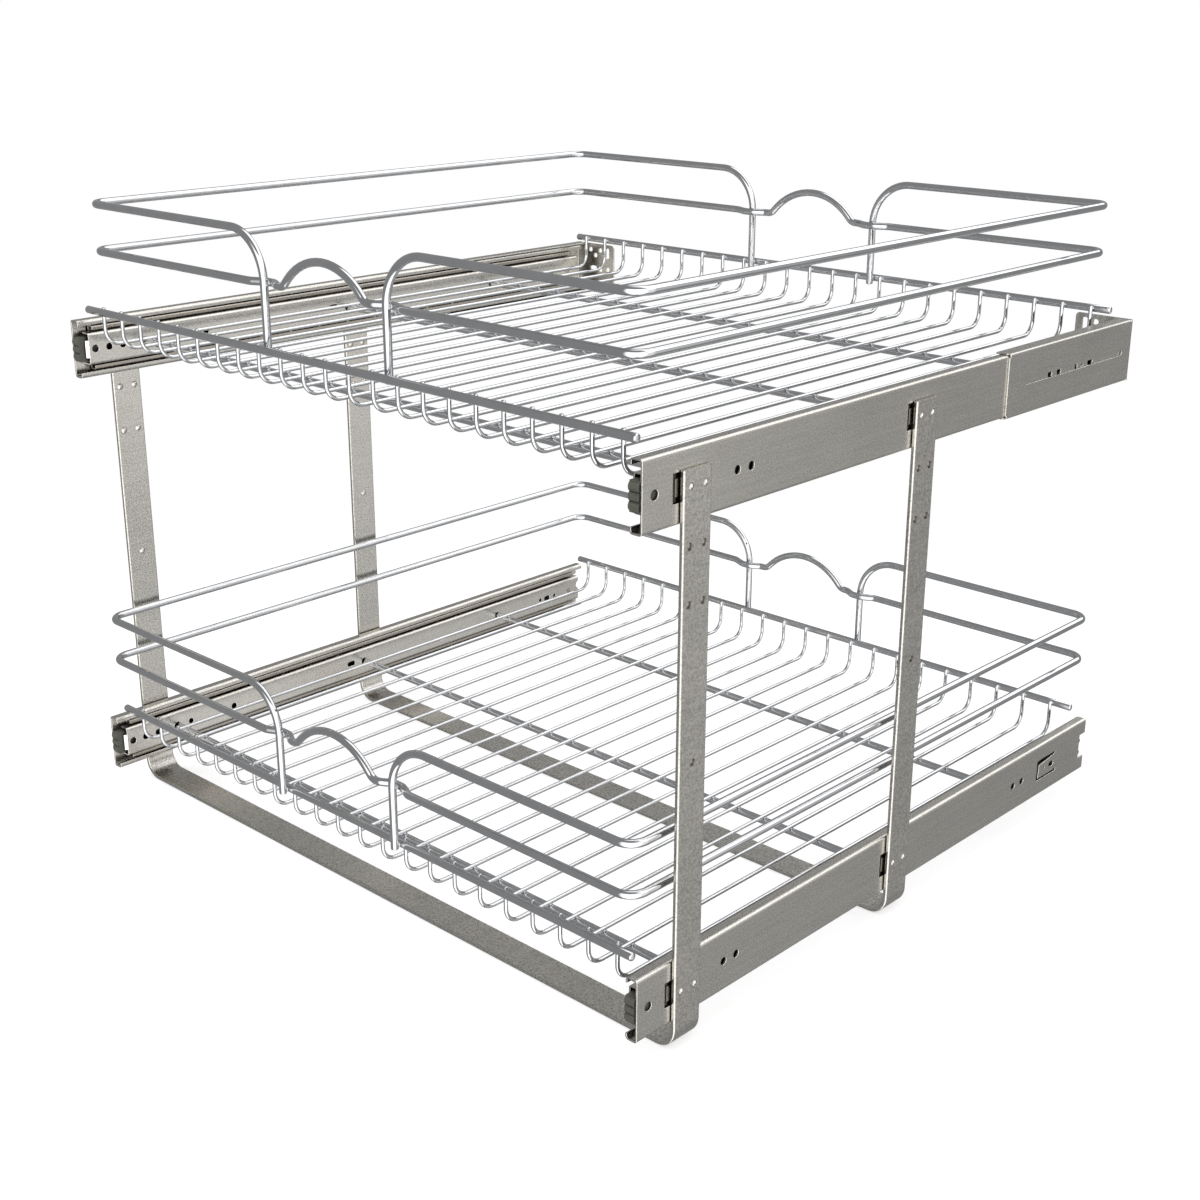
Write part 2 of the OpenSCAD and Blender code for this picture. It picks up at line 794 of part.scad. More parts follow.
// Top wire round one side of the basket, with a post at each end
module loop(tier, side) {
    x0 = side * post_x;
    x1 = side * loop_x(tier);
    y0 = front_post_y(tier);
    y1 = rear_post_y(tier);
    z = post_foot(tier);
    p = [
        [x0, y0, z], [x0, y0, loop_z], [x1, y0, loop_z],
        [x1, y1, loop_z], [x0, y1, loop_z], [x0, y1, z]];
    color(CHROME)
        at_basket(tier)
            wire(p, [0, post_bend, corner_bend, corner_bend, post_bend, 0], heavy_d);
}

// One side of the ring, from x < 0 to x > 0; dir points into the basket
function ring_side(y, dir) = let (in_y = y + dir * post_off) [
    [-post_x - joggle_out, y, ring_z],
    [-post_x - joggle_flat, in_y, ring_z],
    [-post_x + joggle_flat, in_y, ring_z],
    [-post_x + joggle_in, y, ring_z],
    [-grip_half, y, ring_z],
    [0, y, ring_z + grip_vertex],
    [grip_half, y, ring_z],
    [post_x - joggle_in, y, ring_z],
    [post_x - joggle_flat, in_y, ring_z],
    [post_x + joggle_flat, in_y, ring_z],
    [post_x + joggle_out, y, ring_z]];
function ring_radii() = [12, 12, 8, 8, grip_foot, grip_bend, grip_foot, 8, 8, 12, 12];

// Wire all round the basket, inside the posts, with an arch at front and rear
module ring(tier) {
    x = loop_x(tier);
    y0 = front_post_y(tier);
    y1 = rear_post_y(tier);
    color(CHROME)
        at_basket(tier)
            closed_wire(
                concat([[-x, y0, ring_z]], ring_side(y0, 1), [[x, y0, ring_z], [x, y1, ring_z]],
                    reversed(ring_side(y1, -1)), [[-x, y1, ring_z]]),
                concat([corner_bend], ring_radii(), [corner_bend, corner_bend],
                    reversed(ring_radii()), [corner_bend]),
                heavy_d);
}

strap(front_strap_y);  // front_strap
strap(rear_strap_y);  // rear_strap
rivets(front_strap_y);  // front_rivets
rivets(rear_strap_y);  // rear_rivets
outer_member(LEFT, LOWER);  // lower_left_outer
outer_member(RIGHT, LOWER);  // lower_right_outer
outer_member(LEFT, UPPER);  // upper_left_outer
outer_member(RIGHT, UPPER);  // upper_right_outer
middle_member(LEFT, LOWER);  // lower_left_middle
middle_member(RIGHT, LOWER);  // lower_right_middle
middle_member(LEFT, UPPER);  // upper_left_middle
middle_member(RIGHT, UPPER);  // upper_right_middle
inner_member(LEFT, LOWER);  // lower_left_inner
inner_member(RIGHT, LOWER);  // lower_right_inner
inner_member(LEFT, UPPER);  // upper_left_inner
inner_member(RIGHT, UPPER);  // upper_right_inner
outer_cage(LEFT, LOWER);  // lower_left_outer_cage
outer_cage(RIGHT, LOWER);  // lower_right_outer_cage
outer_cage(LEFT, UPPER);  // upper_left_outer_cage
outer_cage(RIGHT, UPPER);  // upper_right_outer_cage
inner_cage(LEFT, LOWER);  // lower_left_inner_cage
inner_cage(RIGHT, LOWER);  // lower_right_inner_cage
inner_cage(LEFT, UPPER);  // upper_left_inner_cage
inner_cage(RIGHT, UPPER);  // upper_right_inner_cage
outer_balls(LEFT, LOWER);  // lower_left_outer_balls
outer_balls(RIGHT, LOWER);  // lower_right_outer_balls
outer_balls(LEFT, UPPER);  // upper_left_outer_balls
outer_balls(RIGHT, UPPER);  // upper_right_outer_balls
inner_balls(LEFT, LOWER);  // lower_left_inner_balls
inner_balls(RIGHT, LOWER);  // lower_right_inner_balls
inner_balls(LEFT, UPPER);  // upper_left_inner_balls
inner_balls(RIGHT, UPPER);  // upper_right_inner_balls
bumper(LEFT, LOWER);  // lower_left_bumper
bumper(RIGHT, LOWER);  // lower_right_bumper
bumper(LEFT, UPPER);  // upper_left_bumper
bumper(RIGHT, UPPER);  // upper_right_bumper
bracket(LEFT, UPPER);  // upper_left_bracket
bracket(RIGHT, UPPER);  // upper_right_bracket
floor_wires(LOWER);  // lower_floor_wires
floor_wires(UPPER);  // upper_floor_wires
rail(LOWER, front_rail_y);  // lower_front_rail
rail(UPPER, front_rail_y);  // upper_front_rail
rail(LOWER, rear_rail_y);  // lower_rear_rail
rail(UPPER, rear_rail_y);  // upper_rear_rail
cross_bars(LOWER);  // lower_cross_bars
cross_bars(UPPER);  // upper_cross_bars
loop(LOWER, LEFT);  // lower_left_loop
loop(LOWER, RIGHT);  // lower_right_loop
loop(UPPER, LEFT);  // upper_left_loop
loop(UPPER, RIGHT);  // upper_right_loop
ring(LOWER);  // lower_ring
ring(UPPER);  // upper_ring
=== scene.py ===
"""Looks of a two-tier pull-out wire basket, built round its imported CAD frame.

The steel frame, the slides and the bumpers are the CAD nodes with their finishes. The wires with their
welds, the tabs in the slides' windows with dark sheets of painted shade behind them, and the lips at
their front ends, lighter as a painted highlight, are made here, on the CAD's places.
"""

import math

import bpy
from bpy.props import FloatProperty, FloatVectorProperty, IntProperty, PointerProperty, StringProperty
from mathutils import Matrix, Vector


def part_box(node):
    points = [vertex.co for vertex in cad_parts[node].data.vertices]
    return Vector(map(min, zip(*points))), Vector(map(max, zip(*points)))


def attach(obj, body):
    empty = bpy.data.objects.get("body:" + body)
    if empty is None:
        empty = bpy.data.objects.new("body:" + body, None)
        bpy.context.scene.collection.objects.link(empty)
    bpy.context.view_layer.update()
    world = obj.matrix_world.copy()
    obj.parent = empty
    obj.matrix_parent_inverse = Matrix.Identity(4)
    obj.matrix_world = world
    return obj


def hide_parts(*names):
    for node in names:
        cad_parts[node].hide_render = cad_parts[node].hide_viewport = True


bl_info = {
    "name": "Two-Tier Wire Basket",
    "version": (1, 0, 0),
    "blender": (4, 5, 0),
    "location": "3D View > Sidebar > Wire Basket",
    "description": "Wires, welds and finishes of a pull-out basket pair",
    "category": "Add Mesh",
}

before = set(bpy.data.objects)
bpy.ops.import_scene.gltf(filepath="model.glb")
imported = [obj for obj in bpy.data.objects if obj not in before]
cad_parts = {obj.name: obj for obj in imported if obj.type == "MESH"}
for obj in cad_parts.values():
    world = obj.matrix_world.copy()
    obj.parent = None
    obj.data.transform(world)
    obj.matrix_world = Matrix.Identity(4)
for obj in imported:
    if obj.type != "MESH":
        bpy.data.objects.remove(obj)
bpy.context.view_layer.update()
MM = 0.001
TIERS = ("lower", "upper")
SIDES = ("left", "right")


# Sizes taken from the CAD nodes


def low(node):
    return Vector(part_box(node)[0])


def high(node):
    return Vector(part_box(node)[1])


def middle(node):
    return (low(node) + high(node)) / 2


HEAVY_D = high("lower_front_rail").z - low("lower_front_rail").z


# Small sizes that aren't in the panel

BACK, UP = Vector((0, 1, 0)), Vector((0, 0, 1))
FLOOR_SIDES = 16
HEAVY_SIDES = 24
STRAIGHT_STEPS = 24
# Half sizes of the weld beads
FLOOR_TO_RAIL_WELD = (1.9 * MM, 0.8 * MM, 1.9 * MM)
FLOOR_TO_BAR_WELD = (1.7 * MM, 1.7 * MM, 0.7 * MM)
POST_WELD = (2.3 * MM, 0.8 * MM, 2.3 * MM)
# Bends of the ring, and the straight that its bends leave in the grip's flank
INNER_JOGGLE_BEND = 8 * MM
OUTER_JOGGLE_BEND = 12 * MM
FLANK_STRAIGHT = 0.8 * MM
# Sheets of the tab, the dark sheet of painted shade behind it and the lip, and their places on the slide
TAB_SHEET = 0.5 * MM
TAB_CORNER = 0.5 * MM
TAB_DEPTH = 0.9 * MM
SHADE_SHEET_SIZE = (10 * MM, 19.6 * MM, 0.3 * MM)
SHADE_SHEET_DEPTH = 0.5 * MM
SHADE_SHEET_SHIFT = 1.8 * MM
LIP_SHEET = 0.8 * MM
LIP_CORNER = 0.6 * MM
LIP_INSIDE = 0.5 * MM
LIP_BEHIND = 0.3 * MM
# Edges that turn more than this stay sharp
CREASE = math.radians(35)
# The floor is a sheet of this half width, just under the straps
PAPER_HALF = 6.0
PAPER_GAP = 0.2 * MM


# Settings that a user would change


class WireSettings(bpy.types.PropertyGroup):
    """Sizes of the basket wires"""

    heavy_diameter: FloatProperty(
        name="Heavy wire", description="Diameter of the rails, loops, rings and bars",
        default=HEAVY_D, min=0.004, max=0.008, unit="LENGTH")
    floor_diameter: FloatProperty(
        name="Floor wire", description="Diameter of the floor wires",
        default=3 * MM, min=0.002, max=0.004, unit="LENGTH")
    lower_count: IntProperty(
        name="Lower floor wires", description="Number of floor wires in the lower basket",
        default=22, min=14, max=24)
    upper_count: IntProperty(
        name="Upper floor wires", description="Number of floor wires in the upper basket",
        default=23, min=21, max=23)
    floor_bend: FloatProperty(
        name="Floor bend", description="Bend radius of the floor wires",
        default=12 * MM, min=0.008, max=0.016, unit="LENGTH")
    front_drop: FloatProperty(
        name="Front tips", description="How far the front tips end below the CAD's",
        default=1.3 * MM, min=0, max=0.004, unit="LENGTH")
    rear_drop: FloatProperty(
        name="Rear tips", description="How far the rear tips end below the CAD's front tips",
        default=1.6 * MM, min=0, max=0.004, unit="LENGTH")
    lower_foot: FloatProperty(
        name="Lower posts", description="How far the lower basket's posts end above the CAD's",
        default=7 * MM, min=0, max=0.008, unit="LENGTH")
    post_bend: FloatProperty(
        name="Post bend", description="Bend radius between a post and its loop",
        default=35 * MM, min=0.02, max=0.04, unit="LENGTH")
    corner_bend: FloatProperty(
        name="Corner bend", description="Bend radius at the corners of the loops and rings",
        default=13 * MM, min=0.008, max=0.02, unit="LENGTH")
    middle_bar: FloatProperty(
        name="Middle cross bar", description="Place of the middle cross bar behind the front one",
        default=206 * MM, min=0.18, max=0.24, unit="LENGTH")
    weld_gap: FloatProperty(
        name="Weld gap", description="Gap between the wires that a weld fills",
        default=0.05 * MM, min=0, max=0.0002, unit="LENGTH")


class GripSettings(bpy.types.PropertyGroup):
    """Shape of the ring at the posts and at the grip"""

    half_width: FloatProperty(
        name="Half width", description="Half width of the arch at its feet",
        default=43.2 * MM, min=0.036, max=0.0436, unit="LENGTH")
    slope: FloatProperty(
        name="Slope", description="Slope of the arch's flanks",
        default=math.radians(47.7), min=0.6, max=0.91, subtype="ANGLE")
    foot_bend: FloatProperty(
        name="Foot bend", description="Bend radius at the arch's feet",
        default=9 * MM, min=0.005, max=0.009, unit="LENGTH")
    joggle_in: FloatProperty(
        name="Joggle inside", description="Start of the joggle on a post's inner side",
        default=14.5 * MM, min=0.012, max=0.015, unit="LENGTH")
    joggle_out: FloatProperty(
        name="Joggle outside", description="End of the joggle on a post's outer side",
        default=16.5 * MM, min=0.014, max=0.024, unit="LENGTH")
    joggle_flat: FloatProperty(
        name="Joggle flat", description="Half length of the straight at a post",
        default=4.5 * MM, min=0.004, max=0.006, unit="LENGTH")


class TabSettings(bpy.types.PropertyGroup):
    """Small folds of the slides"""

    tab_length: FloatProperty(
        name="Tab length", description="Length of the tab in a stop window",
        default=5.4 * MM, min=0.002, max=0.006, unit="LENGTH")
    tab_height: FloatProperty(
        name="Tab height", description="Height of the tab in a stop window",
        default=11 * MM, min=0.006, max=0.016, unit="LENGTH")
    tab_back: FloatProperty(
        name="Tab place", description="Distance from the tab to the strap's middle",
        default=10.3 * MM, min=0.01, max=0.013, unit="LENGTH")
    lip_length: FloatProperty(
        name="Lip length", description="Length of the lip at an inner member's front",
        default=2.8 * MM, min=0.001, max=0.004, unit="LENGTH")
    lip_height: FloatProperty(
        name="Lip height", description="Height of the lip at an inner member's front",
        default=13.8 * MM, min=0.01, max=0.02, unit="LENGTH")
    lip_turn: FloatProperty(
        name="Lip turn", description="How far the lip is folded from the slide's direction",
        default=math.radians(38), min=0.2, max=1.2, subtype="ANGLE")


class FinishSettings(bpy.types.PropertyGroup):
    """Colours and surfaces"""

    zinc: StringProperty(
        name="Zinc plating", description="sRGB hex colour of the plated straps and slides",
        default="#BFBCB6")
    # Colour of the members inside the slides, darker than the zinc as painted shade
    grease: StringProperty(
        name="Greased zinc", description="sRGB hex colour of the members inside the slides",
        default="#A6A097")
    chrome: StringProperty(
        name="Chrome", description="sRGB hex colour of the chromed wire", default="#C4C5C7")
    rubber: StringProperty(
        name="Rubber", description="sRGB hex colour of the bumpers", default="#585850")
    bearing: StringProperty(
        name="Bearing steel", description="sRGB hex colour of the balls", default="#C9C9C9")
    grain_mm: FloatProperty(
        name="Grain", description="Width of the plating's grain, in millimetres",
        default=0.9, min=0.2, max=3)


class StageSettings(bpy.types.PropertyGroup):
    """Camera, floor and lamps"""

    camera_place: FloatVectorProperty(
        name="Camera", description="Place of the camera",
        default=(0.92790, -0.98411, 0.65579), subtype="XYZ")
    azimuth: FloatProperty(
        name="Azimuth", description="Turn of the camera round the unit",
        default=math.radians(43.341), subtype="ANGLE")
    elevation: FloatProperty(
        name="Elevation", description="Height of the camera over the horizon",
        default=math.radians(19.776), subtype="ANGLE")
    roll: FloatProperty(
        name="Roll", description="Lean of the camera", default=math.radians(0.103), subtype="ANGLE")
    lens: FloatProperty(
        name="Lens", description="Focal length in millimetres", default=52.656, min=20, max=200)
    lamp_power: FloatProperty(
        name="Lamp power", description="Share of the studio lamps' power", default=1.0, min=0, max=4)
    room_level: FloatProperty(
        name="Room light", description="Brightness of the room on matt surfaces", default=0.7, min=0, max=2)
    card_level: FloatProperty(
        name="Bright cards", description="Brightness that metal sees in the white cards",
        default=2.3, min=0, max=4)
    wall_level: FloatProperty(
        name="Grey walls", description="Brightness that metal sees in the grey walls",
        default=0.36, min=0, max=2)
    right_wall: FloatProperty(
        name="Right wall", description="How many times brighter the wall at the right is",
        default=3.7, min=1, max=6)


# Materials


def linear(code):
    """sRGB hex colour as linear RGBA."""
    parts = [int(code[i:i + 2], 16) / 255 for i in (1, 3, 5)]
    return tuple(c / 12.92 if c <= 0.04045 else ((c + 0.055) / 1.055) ** 2.4 for c in parts) + (1.0,)


def add_node(tree, kind, settings=None, values=None, links=None):
    """Adds a node, sets its properties and sockets, and links {input: (node, output)}."""
    node = tree.nodes.new(kind)
    for key, value in (settings or {}).items():
        setattr(node, key, value)
    for key, value in (values or {}).items():
        node.inputs[key].default_value = value
    for key, (source, output) in (links or {}).items():
        tree.links.new(source.outputs[output], node.inputs[key])
    return node


def new_material(name):
    """An empty node material with its output and the place of a point on the object."""
    material = bpy.data.materials.new(name)
    material.use_nodes = True
    tree = material.node_tree
    tree.nodes.clear()
    output = add_node(tree, "ShaderNodeOutputMaterial")
    place = add_node(tree, "ShaderNodeTexCoord")
    return material, tree, output, place


def shaded(base, factor):
    """A linear colour made darker or lighter."""
    return tuple(min(1, c * factor) for c in base[:3]) + (1,)


# Sockets of the Mix node when it mixes colours
FACTOR, COLOUR_A, COLOUR_B, MIXED = 0, 6, 7, 2


def per_mm(size):
    """Texture scale at which one cell is size millimetres wide, for coordinates in metres."""
    return 1 / (size * MM)


def plated_steel(name, colour_code, highlight_mm, shade_reach_mm, shade_free_above, speckle=1.2):
    """Bright zinc plating on rolled steel: satin, warm grey, with speckled grain and faint rolling lines.

    highlight_mm is how wide the painted highlight along the edges is, and 0 leaves it out. shade_reach_mm is
    how far the painted shade in corners and recesses reaches, shade_free_above is how open a place has to be
    to stay free of it, and speckle makes the grain coarser and stronger.
    """
    settings = bpy.context.scene.basket_finish
    material, tree, output, place = new_material(name)
    # The real grain is finer than a pixel, so it is drawn about a millimetre wide
    grain = add_node(tree, "ShaderNodeTexNoise", values={
        "Scale": per_mm(settings.grain_mm * speckle), "Detail": 3, "Roughness": 0.65},
        links={"Vector": (place, "Object")})
    # Rolling lines run along the strip, so the noise is drawn out 40 times along y
    stretch = add_node(tree, "ShaderNodeMapping", values={"Scale": (1, 0.025, 1)},
                       links={"Vector": (place, "Object")})
    lines = add_node(tree, "ShaderNodeTexNoise", values={
        "Scale": per_mm(1.6), "Detail": 2, "Roughness": 0.5}, links={"Vector": (stretch, "Vector")})
    cloud = add_node(tree, "ShaderNodeTexNoise", values={
        "Scale": per_mm(45), "Detail": 2, "Roughness": 0.5}, links={"Vector": (place, "Object")})
    both = add_node(tree, "ShaderNodeMix", {"data_type": "FLOAT"}, {"Factor": 0.15},
                    {"A": (grain, "Fac"), "B": (lines, "Fac")})
    mixed = add_node(tree, "ShaderNodeMix", {"data_type": "FLOAT"}, {"Factor": 0.1},
                     {"A": (both, "Result"), "B": (cloud, "Fac")})
    colour = add_node(tree, "ShaderNodeValToRGB", links={"Fac": (mixed, "Result")})
    dark, light = colour.color_ramp.elements
    base, contrast = linear(colour_code), 0.14 * speckle
    dark.position, light.position = 0.38, 0.62
    dark.color, light.color = shaded(base, 1 - contrast), shaded(base, 1 + contrast)
    colour_with_highlight = colour, "Color"
    if highlight_mm:
        # Edges get a painted highlight, a thin bright line where the bevelled normal turns from the face's
        edge = add_node(tree, "ShaderNodeBevel", {"samples": 6}, {"Radius": highlight_mm * MM})
        face = add_node(tree, "ShaderNodeNewGeometry")
        turn = add_node(tree, "ShaderNodeVectorMath", {"operation": "DOT_PRODUCT"},
                        links={0: (edge, "Normal"), 1: (face, "Normal")})
        highlight_mask = add_node(tree, "ShaderNodeMapRange", values={"From Min": 0.98, "From Max": 0.80},
                       links={"Value": (turn, "Value")})
        bright = add_node(tree, "ShaderNodeMix", {"data_type": "RGBA"}, {COLOUR_B: linear("#F7F3EC")},
                          {FACTOR: (highlight_mask, "Result"), COLOUR_A: (colour, "Color")})
        colour_with_highlight = bright, MIXED
    # Painted shade darkens holes, pressed marks and narrow gaps
    corner = add_node(tree, "ShaderNodeAmbientOcclusion", {"samples": 6}, {"Distance": shade_reach_mm * MM})
    tone_mask = add_node(tree, "ShaderNodeMapRange", {"interpolation_type": "SMOOTHSTEP"},
                    {"From Min": 0.12, "From Max": shade_free_above}, {"Value": (corner, "AO")})
    painted_shade = add_node(tree, "ShaderNodeMix", {"data_type": "RGBA"}, {COLOUR_A: linear("#191714")},
                     {FACTOR: (tone_mask, "Result"), COLOUR_B: colour_with_highlight})
    rough = add_node(tree, "ShaderNodeMapRange", values={
        "From Min": 0.3, "From Max": 0.7, "To Min": 0.24, "To Max": 0.33}, links={"Value": (both, "Result")})
    bump = add_node(tree, "ShaderNodeBump", values={"Strength": 0.4, "Distance": 0.06 * MM},
                    links={"Height": (both, "Result")})
    if highlight_mm:
        tree.links.new(edge.outputs["Normal"], bump.inputs["Normal"])
    shader = add_node(tree, "ShaderNodeBsdfPrincipled", values={"Metallic": 1.0}, links={
        "Base Color": (painted_shade, MIXED), "Roughness": (rough, "Result"), "Normal": (bump, "Normal")})
    tree.links.new(shader.outputs["BSDF"], output.inputs["Surface"])
    return material


def zinc_plated_bar():
    """Flat bar with drawn edges, which are round in the mesh itself."""
    return plated_steel("zinc_plated_bar", bpy.context.scene.basket_finish.zinc, 0, 2.5, 0.98, 1.6)


def clinched_rivet():
    """Rivet end spread with a round punch: bright, with painted shade darkening its rim where it meets the
    strap.
    """
    return plated_steel("clinched_rivet", "#E9E6DF", 0, 2.5, 1.3)


def shaded_lanced_tab():
    """Small tab cut and set inwards, drawn dark as painted shade."""
    return plated_steel("shaded_lanced_tab", "#77736B", 0, 1, 0.3)


def dark_shade_sheet():
    """Dark sheet deep in a slide behind a tab, nearly black as painted shade."""
    return plated_steel("dark_shade_sheet", "#5A554C", 0, 8, 1.4)


def zinc_plated_strip():
    """Roll-formed and punched strip, with a painted highlight along its edges and round its openings."""
    return plated_steel("zinc_plated_strip", bpy.context.scene.basket_finish.zinc, 0.55, 3, 0.6)


def shaded_middle_strip():
    """The same strip inside a slide, drawn darker as painted shade."""
    return plated_steel("shaded_middle_strip", bpy.context.scene.basket_finish.grease, 0.3, 6, 0.95)


def highlit_folded_lip():
    """Lip at a slide's front end, lighter than the strip as a painted highlight."""
    return plated_steel("highlit_folded_lip", "#DAD7D1", 0, 1, 0.3)


def polished_chrome_wire():
    """Decorative chromium over nickel on drawn wire: a mirror with slight drawing waves and pale haze."""
    settings = bpy.context.scene.basket_finish
    material, tree, output, place = new_material("polished_chrome_wire")
    wave = add_node(tree, "ShaderNodeTexNoise", values={
        "Scale": per_mm(9), "Detail": 2, "Roughness": 0.5}, links={"Vector": (place, "Object")})
    haze = add_node(tree, "ShaderNodeTexNoise", values={
        "Scale": per_mm(2.5), "Detail": 4, "Roughness": 0.6}, links={"Vector": (place, "Object")})
    rough = add_node(tree, "ShaderNodeMapRange", values={
        "From Min": 0.3, "From Max": 0.7, "To Min": 0.04, "To Max": 0.09}, links={"Value": (haze, "Fac")})
    colour = add_node(tree, "ShaderNodeValToRGB", links={"Fac": (wave, "Fac")})
    dark, light = colour.color_ramp.elements
    dark.position, light.position = 0.3, 0.7
    light.color = linear(settings.chrome)
    dark.color = shaded(light.color, 0.93)
    bump = add_node(tree, "ShaderNodeBump", values={"Strength": 0.03, "Distance": 0.2 * MM},
                    links={"Height": (wave, "Fac")})
    shader = add_node(tree, "ShaderNodeBsdfPrincipled", values={"Metallic": 1.0}, links={
        "Base Color": (colour, "Color"), "Roughness": (rough, "Result"), "Normal": (bump, "Normal")})
    tree.links.new(shader.outputs["BSDF"], output.inputs["Surface"])
    return material


def chromed_weld():
    """Resistance weld under the plating: the same chromium, rounded and a little rougher."""
    settings = bpy.context.scene.basket_finish
    material, tree, output, place = new_material("chromed_weld")
    spatter = add_node(tree, "ShaderNodeTexNoise", values={
        "Scale": per_mm(1.2), "Detail": 3, "Roughness": 0.6}, links={"Vector": (place, "Object")})
    rough = add_node(tree, "ShaderNodeMapRange", values={
        "From Min": 0.3, "From Max": 0.7, "To Min": 0.18, "To Max": 0.32}, links={"Value": (spatter, "Fac")})
    bump = add_node(tree, "ShaderNodeBump", values={"Strength": 0.25, "Distance": 0.15 * MM},
                    links={"Height": (spatter, "Fac")})
    shader = add_node(tree, "ShaderNodeBsdfPrincipled", values={
        "Metallic": 1.0, "Base Color": shaded(linear(settings.chrome), 0.85)},
        links={"Roughness": (rough, "Result"), "Normal": (bump, "Normal")})
    tree.links.new(shader.outputs["BSDF"], output.inputs["Surface"])
    return material


def moulded_rubber():
    """Moulded nitrile rubber: matt, dark olive grey, faintly mottled, with painted shade in its grooves."""
    settings = bpy.context.scene.basket_finish
    material, tree, output, place = new_material("moulded_rubber")
    skin = add_node(tree, "ShaderNodeTexNoise", values={
        "Scale": per_mm(1.4), "Detail": 4, "Roughness": 0.6}, links={"Vector": (place, "Object")})
    colour = add_node(tree, "ShaderNodeValToRGB", links={"Fac": (skin, "Fac")})
    base = linear(settings.rubber)
    dark, light = colour.color_ramp.elements
    dark.position, light.position = 0.35, 0.7
    dark.color, light.color = shaded(base, 0.8), shaded(base, 1.25)
    bump = add_node(tree, "ShaderNodeBump", values={"Strength": 0.3, "Distance": 0.08 * MM},
                    links={"Height": (skin, "Fac")})
    # Painted shade darkens the grooves between the ribs
    corner = add_node(tree, "ShaderNodeAmbientOcclusion", {"samples": 6}, {"Distance": 5 * MM})
    tone_mask = add_node(tree, "ShaderNodeMapRange", {"interpolation_type": "SMOOTHSTEP"},
                    {"From Min": 0.5, "From Max": 0.92}, {"Value": (corner, "AO")})
    painted_shade = add_node(tree, "ShaderNodeMix", {"data_type": "RGBA"}, {COLOUR_A: linear("#080807")},
                     {FACTOR: (tone_mask, "Result"), COLOUR_B: (colour, "Color")})
    shader = add_node(tree, "ShaderNodeBsdfPrincipled", values={"Roughness": 0.62, "IOR": 1.52}, links={
        "Base Color": (painted_shade, MIXED), "Normal": (bump, "Normal")})
    tree.links.new(shader.outputs["BSDF"], output.inputs["Surface"])
    return material


def rolled_cage_steel():
    """Thin cold-rolled strip of the ball cages: dull grey and thinly greased."""
    material, tree, output, place = new_material("rolled_cage_steel")
    tone_mask = add_node(tree, "ShaderNodeTexNoise", values={
        "Scale": per_mm(3), "Detail": 4, "Roughness": 0.6}, links={"Vector": (place, "Object")})
    colour = add_node(tree, "ShaderNodeValToRGB", links={"Fac": (tone_mask, "Fac")})
    dark, light = colour.color_ramp.elements
    dark.color, light.color = linear("#6E6B64"), linear("#8E8A82")
    shader = add_node(tree, "ShaderNodeBsdfPrincipled", values={"Metallic": 1.0, "Roughness": 0.4},
                      links={"Base Color": (colour, "Color")})
    tree.links.new(shader.outputs["BSDF"], output.inputs["Surface"])
    return material


def ground_bearing_steel():
    """Ground and lapped bearing balls: mirror bright, with specks of grease."""
    settings = bpy.context.scene.basket_finish
    material, tree, output, place = new_material("ground_bearing_steel")
    grease = add_node(tree, "ShaderNodeTexNoise", values={
        "Scale": per_mm(2), "Detail": 3, "Roughness": 0.6}, links={"Vector": (place, "Object")})
    rough = add_node(tree, "ShaderNodeMapRange", values={
        "From Min": 0.4, "From Max": 0.7, "To Min": 0.08, "To Max": 0.3}, links={"Value": (grease, "Fac")})
    shader = add_node(tree, "ShaderNodeBsdfPrincipled", values={
        "Metallic": 1.0, "Base Color": linear(settings.bearing)}, links={"Roughness": (rough, "Result")})
    tree.links.new(shader.outputs["BSDF"], output.inputs["Surface"])
    return material


def studio_paper():
    """Seamless white paper: white to the camera, and it keeps the soft shadow."""
    material, tree, output, place = new_material("studio_paper")
    rays = add_node(tree, "ShaderNodeLightPath")
    matt = add_node(tree, "ShaderNodeBsdfDiffuse", values={"Color": (0.5, 0.5, 0.5, 1)})
    glow = add_node(tree, "ShaderNodeEmission", values={"Color": (1, 1, 1, 1), "Strength": 0.62})
    near = add_node(tree, "ShaderNodeAddShader", links={0: (matt, "BSDF"), 1: (glow, "Emission")})
    # Beyond the shadow the sheet runs evenly into the backdrop
    reach = add_node(tree, "ShaderNodeVectorMath", {"operation": "LENGTH"}, links={0: (place, "Object")})
    far = add_node(tree, "ShaderNodeMapRange", {"interpolation_type": "SMOOTHSTEP"},
                   {"From Min": 0.5, "From Max": 0.9}, {"Value": (reach, "Value")})
    white = add_node(tree, "ShaderNodeEmission", values={"Color": (1, 1, 1, 1), "Strength": 1.0})
    paper = add_node(tree, "ShaderNodeMixShader", links={
        0: (far, "Result"), 1: (near, "Shader"), 2: (white, "Emission")})
    plain = add_node(tree, "ShaderNodeBsdfDiffuse", values={"Color": (0.7, 0.7, 0.7, 1)})
    mix = add_node(tree, "ShaderNodeMixShader", links={
        0: (rays, "Is Camera Ray"), 1: (plain, "BSDF"), 2: (paper, "Shader")})
    tree.links.new(mix.outputs["Shader"], output.inputs["Surface"])
    return material


MAKERS = {
    "bar": zinc_plated_bar,
    "strip": zinc_plated_strip,
    "shaded_middle": shaded_middle_strip,
    "rivet": clinched_rivet,
    "tab": shaded_lanced_tab,
    "stop": dark_shade_sheet,
    "lip": highlit_folded_lip,
    "chrome": polished_chrome_wire,
    "weld": chromed_weld,
    "rubber": moulded_rubber,
    "cage": rolled_cage_steel,
    "ball": ground_bearing_steel,
}
made = {}


def finish_of(kind):
    """Each material is made once."""
    if kind not in made:
        made[kind] = MAKERS[kind]()
    return made[kind]


def dress_nodes(kind, names):
    """Gives CAD nodes their finish."""
    for name in names:
        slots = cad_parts[name].data.materials
        slots.clear()
        slots.append(finish_of(kind))


# Meshes


